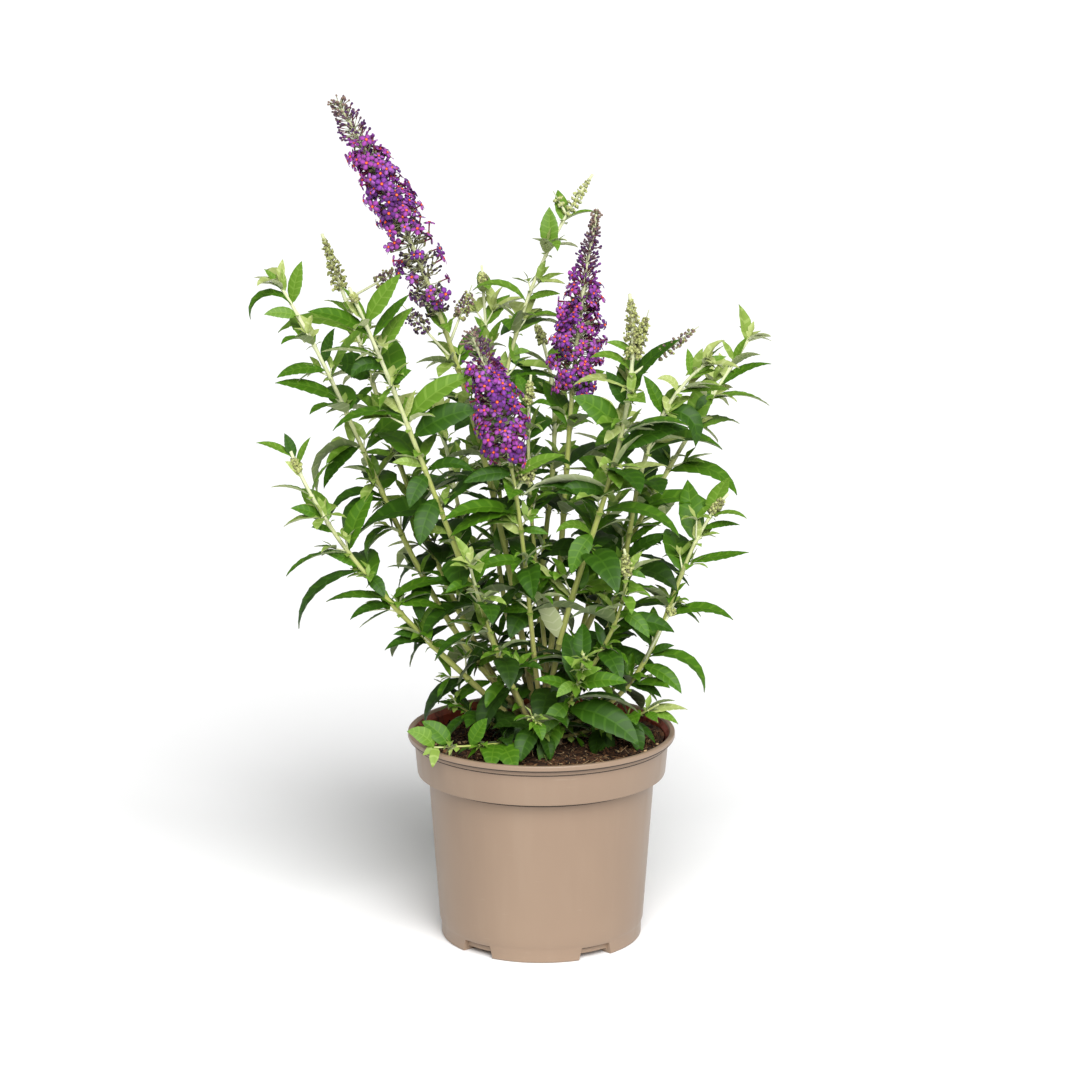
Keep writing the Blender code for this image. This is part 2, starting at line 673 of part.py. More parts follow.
def spike_solids(centre_at, way_at, base, length, radius, in_flower, number):
    """A spike as one lobed body: rings of floret groups, each ring turned half a step from the last."""
    step = FLORET_RING_STEP if in_flower else FLORET_RING_STEP * 1.4
    count = max(4, round(length / step) + 1)
    lobes = FLORETS_PER_RING if in_flower else 3
    dice = np.random.default_rng((number, 77))
    points = []
    for ring, share in enumerate(np.linspace(0, 1, count)):
        mark = base + length * share
        way = way_at(mark)
        back = unit(np.array([0, 1.0, 0]) - way[1] * way)
        right = np.cross(back, way)
        for side in range(2 * lobes):
            angle = math.pi * side / lobes
            full = (side + ring) % 2 == 0
            reach = max(radius * spike_outline(share), 0.9 * MM)
            reach *= dice.uniform(0.92, 1.06) if full else FLORET_INSET
            points.append(centre_at(mark) + reach * (right * math.cos(angle) + back * math.sin(angle)))
    return [(points, ring_faces(2 * lobes, count))]


def side_spike_solids(course, spec, number):
    """A side twig of the cane that ends in a small spike."""
    mark = course.length - spec.below_tip * MM
    bearing = math.radians(spec.bearing)
    climb = math.radians(spec.climb)
    way = np.array([math.cos(climb) * math.cos(bearing), math.cos(climb) * math.sin(bearing), math.sin(climb)])
    root = course.point(mark)
    twig = spec.twig * MM
    twig_tube = tube([root, root + way * (twig + 2 * MM)], [way, way], [1.1 * MM, 0.8 * MM], 3)
    spike = spike_solids(lambda d: root + way * d, lambda d: way, twig, spec.spike * MM,
                         spec.radius * MM, False, number)
    return [twig_tube] + spike


def stem_solids(course, number):
    """The upper stem of a mass with its spikes: what the mass keeps even where it is crowded."""
    cane = course.cane
    start = cane.bare * MM + (GAP if cane.bare else 0)
    end = course.length - cane.spike * MM * 0.5
    solids = [cane_tube(course, start, end, STEM_SIDES, STEM_STEP)]
    if cane.spike:
        base = course.length - cane.spike * MM
        solids.extend(spike_solids(course.point, course.way, base, cane.spike * MM,
                                   cane.spike_radius * MM, cane.in_flower, number))
    for spec in cane.side_spikes:
        solids.extend(side_spike_solids(course, spec, number))
    return solids


# --- joining -------------------------------------------------------------------------------------


def joined_mesh(solids):
    """Points and faces of several solids laid end to end in one list."""
    points = []
    faces = []
    for some_points, some_faces in solids:
        offset = len(points)
        points.extend(tuple(p) for p in some_points)
        faces.extend(tuple(i + offset for i in face) for face in some_faces)
    return points, faces


def tree_of(solids):
    """A search tree over the faces of many solids."""
    return BVHTree.FromPolygons(*joined_mesh(solids))


def solid_of(made):
    """Points and faces of an object that is already built."""
    mesh = made.data
    return [tuple(v.co) for v in mesh.vertices], [tuple(p.vertices) for p in mesh.polygons]


def fuse(name, solids, surface):
    """Join solids into one closed body, without loose scraps or sealed hollows."""
    group = bpy.data.collections.new(name + "_pieces")
    bpy.context.scene.collection.children.link(group)
    base = new_object(name, *solids[0], surface)
    for number, solid in enumerate(solids[1:]):
        piece = new_object(f"{name}_{number}", *solid, surface)
        bpy.context.scene.collection.objects.unlink(piece)
        group.objects.link(piece)
    boolean(base, group=group, solver="MANIFOLD")
    for piece in list(group.objects):
        bpy.data.objects.remove(piece, do_unlink=True)
    bpy.data.collections.remove(group)
    keep_largest_shell(base.data)
    return base


def keep_largest_shell(mesh):
    """Remove every closed shell of a mesh but the one with the greatest volume."""
    work = bmesh.new()
    work.from_mesh(mesh)
    bmesh.ops.triangulate(work, faces=work.faces)
    left = set(work.faces)
    shells = []
    while left:
        seed = left.pop()
        shell = {seed}
        border = [seed]
        while border:
            face = border.pop()
            for edge in face.edges:
                for other in edge.link_faces:
                    if other in left:
                        left.remove(other)
                        shell.add(other)
                        border.append(other)
        shells.append(shell)
    shells.sort(key=shell_volume)
    for shell in shells[:-1]:
        bmesh.ops.delete(work, geom=list(shell), context="FACES")
    loose = [v for v in work.verts if not v.link_faces]
    bmesh.ops.delete(work, geom=loose, context="VERTS")
    work.to_mesh(mesh)
    work.free()


def shell_volume(shell):
    """Signed volume inside a closed set of triangles."""
    total = 0.0
    for face in shell:
        a, b, c = (v.co for v in face.verts)
        total += a.dot(b.cross(c)) / 6
    return total


def main():
    """Build the pot, the soil, the stump, the canes and then the masses of foliage on them."""
    clear_scene()
    plastic = material("pot_plastic", POT_COLOUR, 0.42)
    peat = material("peat", SOIL_COLOUR, 0.95)
    bark = material("bark", BARK_COLOUR, 0.85)
    cane_skin = material("cane", CANE_COLOUR, 0.7)
    foliage = material("foliage", LEAF_COLOUR, 0.55)

    placed = [solid_of(build_pot(plastic)), solid_of(build_soil(peat)), solid_of(build_stump(bark))]
    courses = [Course(cane) for cane in CANES]
    for course in courses:
        cane = course.cane
        if cane.bare:
            bough = cane_tube(course, 0, cane.bare * MM, BOUGH_SIDES, BOUGH_STEP)
            placed.append(solid_of(new_object(cane.name + "_cane", *bough, cane_skin, smooth=True)))

    stems = [stem_solids(course, number) for number, course in enumerate(courses)]
    leaves = [[] for _ in courses]
    for number, course in enumerate(courses):
        others = list(placed)
        for other in range(len(courses)):
            if other != number:
                others.extend(stems[other] + leaves[other])
        leaves[number] = leaves_of(course, tree_of(others), number)
        fuse(course.cane.name + "_foliage", stems[number] + leaves[number], foliage)


main()
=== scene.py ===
"""The looks of a butterfly bush in a plastic pot.

Metres, +Z up, in the part's own frame: the origin is the centre of the pot's flat underside, +X is to
the right and -Y is the front. Every leaf, floret and fibre is worked out as whole arrays: a shape is a
grid of two parameters or a profile carried along a path, laid out many times over at once.
"""

import logging
import math
from dataclasses import dataclass, field, fields, replace
from enum import Enum
from typing import Callable, Sequence

import bpy
import numpy as np
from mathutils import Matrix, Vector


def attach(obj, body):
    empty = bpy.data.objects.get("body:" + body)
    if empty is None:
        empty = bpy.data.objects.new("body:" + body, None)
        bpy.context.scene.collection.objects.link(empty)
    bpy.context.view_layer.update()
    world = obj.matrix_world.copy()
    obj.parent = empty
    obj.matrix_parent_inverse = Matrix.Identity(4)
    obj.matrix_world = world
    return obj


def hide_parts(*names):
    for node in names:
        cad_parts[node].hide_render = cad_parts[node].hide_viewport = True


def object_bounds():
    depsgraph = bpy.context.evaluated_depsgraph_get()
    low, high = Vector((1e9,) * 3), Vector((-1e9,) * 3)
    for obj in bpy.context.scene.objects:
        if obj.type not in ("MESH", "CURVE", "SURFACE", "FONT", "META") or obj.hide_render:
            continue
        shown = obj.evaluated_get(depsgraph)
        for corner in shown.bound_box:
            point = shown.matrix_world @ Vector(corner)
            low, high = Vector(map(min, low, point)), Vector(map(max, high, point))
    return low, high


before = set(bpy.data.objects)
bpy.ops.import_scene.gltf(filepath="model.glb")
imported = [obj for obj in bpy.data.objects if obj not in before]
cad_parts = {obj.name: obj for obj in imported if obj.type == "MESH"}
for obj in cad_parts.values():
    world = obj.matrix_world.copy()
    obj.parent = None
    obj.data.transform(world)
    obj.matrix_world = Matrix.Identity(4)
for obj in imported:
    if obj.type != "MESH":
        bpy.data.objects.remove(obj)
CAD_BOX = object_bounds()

Array, Dice = np.ndarray, np.random.Generator
Material, Socket = bpy.types.Material, bpy.types.NodeSocket
MM = 0.001
BOX_MARGIN = 0.4 * MM
LOG = logging.getLogger("butterfly_bush")


# --- numbers ---


def unit(vectors: Array) -> Array:
    """Vectors at length one, along the last axis."""
    return vectors / np.maximum(np.linalg.norm(vectors, axis=-1, keepdims=True), 1e-12)


def linear(red: float, green: float, blue: float) -> tuple[float, ...]:
    """A colour given as seen on a screen, 0 to 255, as the linear values that a shader takes.

    Args:
        red, green, blue: the three parts, each from 0 to 255.

    Returns:
        The three parts, each from 0 to 1, and an alpha of 1.
    """
    seen = np.array([red, green, blue]) / 255
    low, high = seen / 12.92, ((seen + 0.055) / 1.055) ** 2.4
    return (*(float(part) for part in np.where(seen <= 0.04045, low, high)), 1.0)


def polar(heading: Array, climb: Array) -> Array:
    """Unit directions from a heading about Z and a climb above the level, both in radians."""
    flat = np.cos(climb)
    return np.stack([flat * np.cos(heading), flat * np.sin(heading), np.sin(climb)], axis=-1)


def climb_of(way: Array) -> float:
    """How far a unit direction climbs above the level, in radians."""
    return math.asin(max(-1.0, min(1.0, way[2])))


def around(count: int) -> Array:
    """So many angles evenly round a circle, in radians."""
    return np.arange(count) * 2 * math.pi / count


def grid(rows: int, columns: int) -> Sequence[Array]:
    """The row and the column of each cell of a grid."""
    return np.meshgrid(np.arange(rows), np.arange(columns), indexing="ij")


def fan(first: Array, second: Array, tip: int) -> Array:
    """Triangles from pairs of points to one tip, as faces that repeat their third corner."""
    ends = np.full(len(first), tip)
    return np.stack([first, second, ends, ends], axis=-1)


def frames(ways: Array, spins: Array) -> Array:
    """Right-handed axes whose third is each way, turned about it by a spin.

    Args:
        ways: unit directions, (n, 3).
        spins: angles in radians, (n,).

    Returns:
        (n, 3, 3), with the three axes as rows.
    """
    upright = np.abs(ways[:, 2:3]) > 0.9
    helper = np.where(upright, np.array([[1.0, 0, 0]]), np.array([[0, 0, 1.0]]))
    first = unit(np.cross(helper, ways))
    second = np.cross(ways, first)
    turn, across = np.cos(spins)[:, None], np.sin(spins)[:, None]
    return np.stack([first * turn + second * across, second * turn - first * across, ways], axis=1)


def ripple(points: Array, size: float, seed: int) -> Array:
    """Smooth noise from about -1 to 1: a sum of sine waves in seeded directions.

    Args:
        points: where it is read, (..., 3).
        size: the length of its bumps in metres.
        seed: which noise it is.

    Returns:
        One value for each point.
    """
    dice, waves = np.random.default_rng(seed), 9
    ways = unit(dice.normal(size=(waves, 3))) * dice.uniform(0.6, 1.5, (waves, 1)) * (2 * math.pi / size)
    shifts = dice.uniform(0, 2 * math.pi, waves)
    return np.sin(points @ ways.T + shifts).sum(axis=-1) / math.sqrt(waves) / 1.3


# --- meshes ---


@dataclass
class Patch:
    """Points and faces. A face has four corners, and a triangle repeats its third.

    slots says which material each face wears, edge marks the points along a crease, and age is a
    value at each point that a finish may read.
    """

    points: Array
    faces: Array
    slots: Array | None = None
    edge: Array | None = None
    age: Array | None = None

    def __post_init__(self) -> None:
        """Give a patch that names no slots, crease or age plain ones."""
        if self.slots is None:
            self.slots = np.zeros(len(self.faces), int)
        if self.edge is None:
            self.edge = np.zeros(len(self.points), bool)
        if self.age is None:
            self.age = np.zeros(len(self.points))


def joined(patches: Sequence[Patch]) -> Patch:
    """Several patches as one.

    Args:
        patches: the patches, at least one.

    Returns:
        One patch whose faces count on through all the points.
    """
    starts = np.cumsum([0] + [len(patch.points) for patch in patches[:-1]])
    moved = [replace(patch, faces=patch.faces + start) for patch, start in zip(patches, starts)]
    return Patch(*(np.concatenate([getattr(patch, part.name) for patch in moved]) for part in fields(Patch)))


def put(name: str, data: bpy.types.ID) -> bpy.types.Object:
    """A new object in the scene, at the origin.

    Args:
        name: its name.
        data: its mesh, light or camera.

    Returns:
        The object.
    """
    made = bpy.data.objects.new(name, data)
    bpy.context.scene.collection.objects.link(made)
    return made


def piece(name: str, patch: Patch, finishes: Sequence[Material],
          nodes: Sequence[str] = (), flat: bool = False) -> bpy.types.Object:
    """One object from a patch, riding with the plant.

    Args:
        name: the object's name.
        patch: its points, faces and slots.
        finishes: one material for each slot number.
        nodes: the solids that it stands for.
        flat: whether its faces are shaded flat.

    Returns:
        The object, at the origin, with its place in its mesh.
    """
    mesh = bpy.data.meshes.new(name)
    mesh.vertices.add(len(patch.points))
    mesh.vertices.foreach_set("co", patch.points.astype(np.float32).ravel())
    kept = np.ones(patch.faces.shape, bool)
    kept[:, 3] = patch.faces[:, 3] != patch.faces[:, 2]
    corners = patch.faces[kept]
    counts = kept.sum(axis=1)
    mesh.loops.add(len(corners))
    mesh.loops.foreach_set("vertex_index", corners.astype(np.int32))
    mesh.polygons.add(len(patch.faces))
    mesh.polygons.foreach_set("loop_start", (np.cumsum(counts) - counts).astype(np.int32))
    for finish in finishes:
        mesh.materials.append(finish)
    mesh.polygons.foreach_set("material_index", patch.slots.astype(np.int32))
    mesh.polygons.foreach_set("use_smooth", np.full(len(patch.faces), not flat))
    mesh.update(calc_edges=True)
    if patch.edge.any():
        ends = np.empty(len(mesh.edges) * 2, np.int32)
        mesh.edges.foreach_get("vertices", ends)
        crease = mesh.attributes.new("sharp_edge", "BOOLEAN", "EDGE")
        crease.data.foreach_set("value", patch.edge[ends.reshape(-1, 2)].all(axis=1))
    if patch.age.any():
        years = mesh.attributes.new("age", "FLOAT", "POINT")
        years.data.foreach_set("value", patch.age.astype(np.float32))
    made = put(name, mesh)
    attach(made, "root")
    if nodes:
        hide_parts(*nodes)
    LOG.info("%s: %d triangles", name, int(counts.sum() - 2 * len(counts)))
    return made


def turned(radii: Array, heights: Array, bearings: Array) -> tuple[Array, Array]:
    """A closed profile carried round Z: the point at (i, k) is radius k at height k, bearing i.

    Args:
        radii, heights: (bearings, corners) arrays, or (corners,) where all bearings are alike.
        bearings: angles in radians, going round once, for each row or for each corner.

    Returns:
        Points and four-cornered faces, turned outwards where the profile runs down its outer side.
    """
    rows, columns = len(bearings), radii.shape[-1]
    radii = np.broadcast_to(radii, (rows, columns))
    heights = np.broadcast_to(heights, (rows, columns))
    angle = bearings.reshape(rows, -1)
    points = np.stack([radii * np.cos(angle), radii * np.sin(angle), heights], axis=-1)
    row, column = grid(rows, columns - 1)
    after = (row + 1) % rows
    faces = np.stack([row * columns + column, row * columns + column + 1,
                      after * columns + column + 1, after * columns + column], axis=-1)
    return points.reshape(-1, 3), faces.reshape(-1, 4)


def tubes(paths: Array, radii: Array, sides: int, slots: Array | int = 0, age: Array | None = None) -> Patch:
    """Closed tubes along many paths at once: a ring square to the path at each of its points.

    Args:
        paths: (n, m, 3) points, each tube's own course.
        radii: (n, m) or (n, m, sides) radii.
        sides: corners of a ring.
        slots: one slot for all tubes, or one for each.
        age: (n, m) values that the skin's colour reads.

    Returns:
        The tubes as one patch, each closed by a fan at both ends.
    """
    count, rings = paths.shape[:2]
    ways = unit(np.gradient(paths, axis=1))
    mean = unit(paths[:, -1] - paths[:, 0])
    helper = np.where(np.abs(mean[:, 1:2]) > 0.8, np.array([[1.0, 0, 0]]), np.array([[0, 1.0, 0]]))
    right = unit(np.cross(helper[:, None], ways))
    back = np.cross(ways, right)
    angles = around(sides)[:, None]
    spokes = right[:, :, None] * np.cos(angles) + back[:, :, None] * np.sin(angles)
    radii = radii if radii.ndim == 3 else radii[:, :, None]
    shell = paths[:, :, None] + spokes * radii[..., None]
    points = np.concatenate([shell.reshape(count, -1, 3), paths[:, :1], paths[:, -1:]], axis=1)
    ring, side = grid(rings - 1, sides)
    low, after = ring * sides, (side + 1) % sides
    wall = np.stack([low + side, low + after, low + sides + after, low + sides + side], -1).reshape(-1, 4)
    first, top = rings * sides, (rings - 1) * sides
    side, after = side[0], after[0]
    faces = np.concatenate([wall, fan(after, side, first), fan(top + side, top + after, first + 1)])
    shifts = np.arange(count)[:, None, None] * (first + 2)
    dressed = np.repeat(np.broadcast_to(slots, (count,)), len(faces))
    years = None
    if age is not None:
        years = np.concatenate([np.repeat(age, sides, axis=1), age[:, :1], age[:, -1:]], axis=1).ravel()
    return Patch(points.reshape(-1, 3), (faces + shifts).reshape(-1, 4), dressed, age=years)


def stamped(shape: Patch, origins: Array, axes: Array, sizes: Array, shift: Array | int = 0) -> Patch:
    """One small shape laid down many times, each copy turned and sized on its own.

    Args:
        shape: the shape about its own origin, its Z along the copy's third axis.
        origins: (n, 3) places.
        axes: (n, 3, 3) axes as rows.
        sizes: (n,) sizes or (n, 3) sizes along the three axes.
        shift: added to each copy's slot numbers, one for all or one for each.

    Returns:
        All the copies as one patch.
    """
    count = len(origins)
    sizes = np.broadcast_to(sizes[:, None] if sizes.ndim == 1 else sizes, (count, 3))
    points = origins[:, None] + (shape.points[None] * sizes[:, None]) @ axes
    shifts = np.arange(count)[:, None, None] * len(shape.points)
    faces = (shape.faces[None] + shifts).reshape(-1, 4)
    slots = (shape.slots[None] + np.broadcast_to(shift, (count,))[:, None]).ravel()
    return Patch(points.reshape(-1, 3), faces, slots, np.tile(shape.edge, count))


def turned_bead(radii: Sequence[float], heights: Sequence[float], sides: int, slots: Sequence[int]) -> Patch:
    """A small bead turned about Z, closed at both ends, from its foot to its tip.

    Args:
        radii, heights: its profile, the first and last radius being near zero.
        sides: corners of a ring.
        slots: the slot of each band between two corners of the profile.

    Returns:
        The bead about its own origin.
    """
    points, faces = turned(np.array(radii)[::-1], np.array(heights)[::-1], around(sides))
    return Patch(points, faces, np.tile(np.array(slots)[::-1], sides))


# --- finishes ---


class Value:
    """A number in a shader, with the arithmetic that adds its Math nodes."""

    def __init__(self, graph: "Graph", socket: Socket) -> None:
        """Wrap a socket of a graph."""
        self.graph, self.socket = graph, socket

    def maths(self, operation: str, *others: "Value | float", first: bool = True) -> "Value":
        """One Math node on this value and others.

        Args:
            operation: the node's operation.
            others: the other operands.
            first: whether this value comes before them.

        Returns:
            The node's result.
        """
        operands = [self, *others] if first else [*others, self]
        return self.graph.value("ShaderNodeMath", {"operation": operation}, dict(enumerate(operands)))

    def __add__(self, other: "Value | float") -> "Value":
        """This value and another."""
        return self.maths("ADD", other)

    __radd__ = __add__

    def __sub__(self, other: "Value | float") -> "Value":
        """This value less another."""
        return self.maths("SUBTRACT", other)

    def __rsub__(self, other: "Value | float") -> "Value":
        """Another value less this."""
        return self.maths("SUBTRACT", other, first=False)

    def __mul__(self, other: "Value | float") -> "Value":
        """This value times another."""
        return self.maths("MULTIPLY", other)

    __rmul__ = __mul__

    def over(self, low: float, high: float) -> "Value":
        """How far the value is from low to high, eased at both ends and held from 0 to 1."""
        inputs = {0: self, 1: low, 2: high, 3: 0.0, 4: 1.0}
        return self.graph.value("ShaderNodeMapRange", {"interpolation_type": "SMOOTHSTEP"}, inputs)


class Graph:
    """The nodes of one material, which end in its Principled shader."""

    def __init__(self, name: str, **plain: float | tuple) -> None:
        """Start a material.

        Args:
            name: the material's name.
            plain: values for the shader's own sockets, underscores for spaces.
        """
        self.material = bpy.data.materials.new(name)
        self.material.use_nodes = True
        self.shader = self.material.node_tree.nodes["Principled BSDF"]
        for socket, value in plain.items():
            self.shader.inputs[socket.replace("_", " ")].default_value = value
        self.material.diffuse_color = self.shader.inputs["Base Color"].default_value

    def node(self, kind: str, settings: dict | None = None, inputs: dict | None = None) -> bpy.types.Node:
        """Add a node.

        Args:
            kind: the node's type.
            settings: its properties, set before its sockets.
            inputs: a value, a link or a wrapped value for each socket, by name or number.

        Returns:
            The node.
        """
        tree = self.material.node_tree
        made = tree.nodes.new(kind)
        for name, value in (settings or {}).items():
            setattr(made, name, value)
        for key, value in (inputs or {}).items():
            source = value.socket if isinstance(value, Value) else value
            if isinstance(source, Socket):
                tree.links.new(source, made.inputs[key])
            else:
                made.inputs[key].default_value = source
        return made

    def value(self, kind: str, settings: dict | None = None, inputs: dict | None = None,
              output: int | str = 0) -> Value:
        """Add a node, as node does, and wrap one of its results."""
        return Value(self, self.node(kind, settings, inputs).outputs[output])

    def place(self, stretch: tuple = (1, 1, 1)) -> Socket:
        """The piece's own coordinates, scaled along each axis."""
        at = self.node("ShaderNodeTexCoord").outputs["Object"]
        return self.node("ShaderNodeMapping", None, {"Vector": at, "Scale": stretch}).outputs[0]

    def noise(self, size: float, detail: float = 2.0, stretch: tuple = (1, 1, 1)) -> Value:
        """Noise from 0 to 1 whose bumps are about so many metres long."""
        inputs = {"Vector": self.place(stretch), "Scale": 1 / size, "Detail": detail}
        return self.value("ShaderNodeTexNoise", None, inputs)

    def cells(self, size: float) -> Value:
        """Distance to the nearest of many scattered points, as a part of their spacing in metres."""
        inputs = {"Vector": self.place(), "Scale": 1 / size}
        return self.value("ShaderNodeTexVoronoi", None, inputs, "Distance")

    def attribute(self, name: str) -> Value:
        """A value that the mesh carries."""
        return self.value("ShaderNodeAttribute", {"attribute_name": name}, None, "Fac")

    def mix(self, share: Value | float, low: tuple | Socket, high: tuple | Socket) -> Socket:
        """A colour between two others, each a colour as seen on a screen or a link."""
        low, high = (linear(*colour) if isinstance(colour, tuple) else colour for colour in (low, high))
        return self.node("ShaderNodeMix", {"data_type": "RGBA"}, {0: share, 6: low, 7: high}).outputs[2]

    def feed(self, socket: str, source: Value | Socket) -> None:
        """Lead a value or a link to one of the shader's sockets."""
        source = source.socket if isinstance(source, Value) else source
        self.material.node_tree.links.new(source, self.shader.inputs[socket])

    def relief(self, height: Value, depth: float, strength: float = 1.0) -> None:
        """Let a value from 0 to 1 stand so many metres proud of the surface."""
        inputs = {"Height": height, "Distance": depth, "Strength": strength}
        self.feed("Normal", self.node("ShaderNodeBump", None, inputs).outputs[0])


def plain(name: str, colour: tuple[float, float, float], roughness: float, felt: float = 0.0,
          specular: float = 0.5) -> Material:
    """A finish of one base colour, for what is dealt its colour piece by piece.

    Args:
        name: the material's name.
        colour: as seen on a screen, 0 to 255.
        roughness: from 0 to 1.
        felt: how much short pale hair lies on it.
        specular: how much it mirrors.

    Returns:
        The material.
    """
    return Graph(name, Base_Color=linear(*colour), Roughness=roughness, Specular_IOR_Level=specular,
                 Sheen_Weight=felt, Sheen_Roughness=0.6).material


@dataclass(frozen=True)
class PotPlastic:
    """Satin taupe plastic, a little mottled, with pale scuffs and faint paler vertical streaks of painted
    sheen.
    """

    colour: tuple = (148, 126, 106)
    deep: tuple = (141, 119, 100)
    # paler colour of the scuffs, and of the painted sheen streaks
    dust: tuple = (162, 143, 124)

    def material(self) -> Material:
        """Lay the nodes of the plastic.

        Returns:
            Its material.
        """
        graph = Graph("pot_plastic", Roughness=0.42, Specular_IOR_Level=0.45)
        cloud = graph.noise(60 * MM, 2.0, (1, 1, 0.5)).over(0.2, 0.85)
        # painted sheen: faint paler vertical streaks, also a little rougher
        sheen_streak = graph.noise(9 * MM, 3.0, (1, 1, 0.12)).over(0.45, 0.8)
        scuff = graph.noise(5 * MM, 6.0, (0.3, 0.3, 2.5)).over(0.66, 0.8)
        base = graph.mix(cloud, self.colour, self.deep)
        graph.feed("Base Color", graph.mix(scuff * 0.5 + sheen_streak * 0.12, base, self.dust))
        graph.feed("Roughness", 0.37 + 0.1 * sheen_streak + 0.16 * scuff)
        graph.relief(graph.noise(0.8 * MM, 2.0), 0.03 * MM, 0.5)
        return graph.material


@dataclass(frozen=True)
class PotLining:
    """The pot's red-brown inside, stained by soil and water."""

    colour: tuple = (142, 62, 42)
    stain: tuple = (70, 38, 27)

    def material(self) -> Material:
        """Lay the nodes of the lining.

        Returns:
            Its material.
        """
        graph = Graph("pot_lining", Roughness=0.4)
        stain = graph.noise(9 * MM, 5.0, (1, 1, 0.6)).over(0.45, 0.7)
        graph.feed("Base Color", graph.mix(stain, self.colour, self.stain))
        graph.feed("Roughness", 0.34 + 0.4 * stain)
        graph.relief(graph.noise(1.5 * MM, 3.0), 0.08 * MM, 0.6)
        return graph.material


@dataclass(frozen=True)
class Peat:
    """Dark crumbly potting soil with browner fibres through it."""

    dark: tuple = (38, 25, 18)
    brown: tuple = (84, 57, 38)
    pale: tuple = (134, 103, 74)

    def material(self) -> Material:
        """Lay the nodes of the soil.

        Returns:
            Its material.
        """
        graph = Graph("peat", Specular_IOR_Level=0.25)
        crumb = graph.noise(3.2 * MM, 6.0)
        fleck = graph.cells(2.4 * MM).over(0.36, 0.1) * graph.noise(7 * MM, 2.0).over(0.5, 0.66)
        base = graph.mix(crumb.over(0.38, 0.68), self.dark, self.brown)
        graph.feed("Base Color", graph.mix(fleck * 0.6, base, self.pale))
        graph.feed("Roughness", 0.8 + 0.15 * crumb)
        graph.relief(crumb + 0.4 * graph.cells(1.3 * MM), 0.9 * MM, 0.9)
        return graph.material


@dataclass(frozen=True)
class Bark:
    """Old grey-brown bark in thin strips, at the foot of the plant."""

    brown: tuple = (112, 88, 60)
    grey: tuple = (150, 136, 108)
    crack: tuple = (58, 42, 28)

    def material(self) -> Material:
        """Lay the nodes of the bark.

        Returns:
            Its material.
        """
        graph = Graph("bark", Specular_IOR_Level=0.3)
        strip = graph.noise(3 * MM, 5.0, (1, 1, 0.25))
        base = graph.mix(strip.over(0.35, 0.65), self.brown, self.grey)
        crack = graph.noise(1.6 * MM, 3.0, (1, 1, 0.18)).over(0.6, 0.72)
        graph.feed("Base Color", graph.mix(crack * 0.8, base, self.crack))
        graph.feed("Roughness", 0.72 + 0.2 * strip)
        graph.relief(strip - 0.7 * crack, 0.5 * MM, 0.8)
        return graph.material


@dataclass(frozen=True)
class CaneSkin:
    """A cane's skin: tan and smooth at its foot, yellow-green above, and pale with felt near its tip."""

    tan: tuple = (158, 148, 90)
    green: tuple = (168, 176, 92)
    felt: tuple = (212, 216, 174)
    stain: tuple = (116, 84, 70)

    def material(self) -> Material:
        """Lay the nodes of the skin.

        Returns:
            Its material.
        """
        graph = Graph("cane_skin", Specular_IOR_Level=0.35, Sheen_Weight=0.12, Sheen_Roughness=0.5)
        age = graph.attribute("age")
        patchy = graph.noise(11 * MM, 3.0, (1, 1, 0.4))
        woody = graph.mix((age + 0.5 * patchy).over(0.2, 0.56), self.tan, self.green)
        stain = graph.noise(4 * MM, 5.0, (1, 1, 0.35)).over(0.6, 0.74) * (1 - age.over(0.35, 0.75))
        skin = graph.mix(stain * 0.7, woody, self.stain)
        felted = (age + 0.25 * graph.noise(5 * MM, 3.0)).over(0.62, 1.0)
        graph.feed("Base Color", graph.mix(felted, skin, self.felt))
        graph.feed("Roughness", 0.5 + 0.35 * felted)
        graph.relief(graph.noise(1.1 * MM, 4.0, (1, 1, 0.2)), 0.14 * MM, 0.7)
        return graph.material


class LeafTint(Enum):
    """Leaf colours by age, with painted light: the paler tints also go to leaves high up and far out, as if
    lit, and the darker to leaves low and inside, as if shaded. Each as (panel, vein, underside, its veins),
    as seen on a screen.
    """

    OLD = ((29, 56, 4), (38, 66, 8), (98, 118, 60), (122, 138, 84))
    DEEP = ((41, 77, 6), (53, 90, 13), (116, 135, 74), (140, 154, 98))
    MID = ((62, 103, 11), (78, 117, 22), (136, 154, 90), (160, 174, 116))
    FRESH = ((92, 129, 34), (109, 143, 50), (158, 173, 108), (180, 190, 134))
    YOUNG = ((124, 150, 64), (144, 166, 86), (178, 190, 130), (196, 204, 152))
    SILVER = ((158, 172, 98), (174, 186, 120), (194, 203, 152), (208, 214, 172))

    @property
    def start(self) -> int:
        """The first of the tint's four slot numbers."""
        return 4 * list(LeafTint).index(self)

    @staticmethod
    def at(freshness: float) -> "LeafTint":
        """The tint of a leaf from 0, oldest and most shaded, to 1, youngest and most lit."""
        order = list(LeafTint)
        return order[int(min(max(freshness, 0.0), 0.999) * len(order))]


def leaf_finishes() -> list[Material]:
    """Make the leaves' materials: glossier above, felted below.

    Returns:
        Panel, vein, underside and rib of each tint, in slot order.
    """
    above, below = (0.0, 0.26), (0.85, 0.16, 0.2)
    looks = {"panel": (0.5, *above), "vein": (0.55, *above), "under": below, "rib": below}
    return [plain(f"leaf_{tint.name.lower()}_{part}", colour, *looks[part])
            for tint in LeafTint for part, colour in zip(looks, tint.value)]


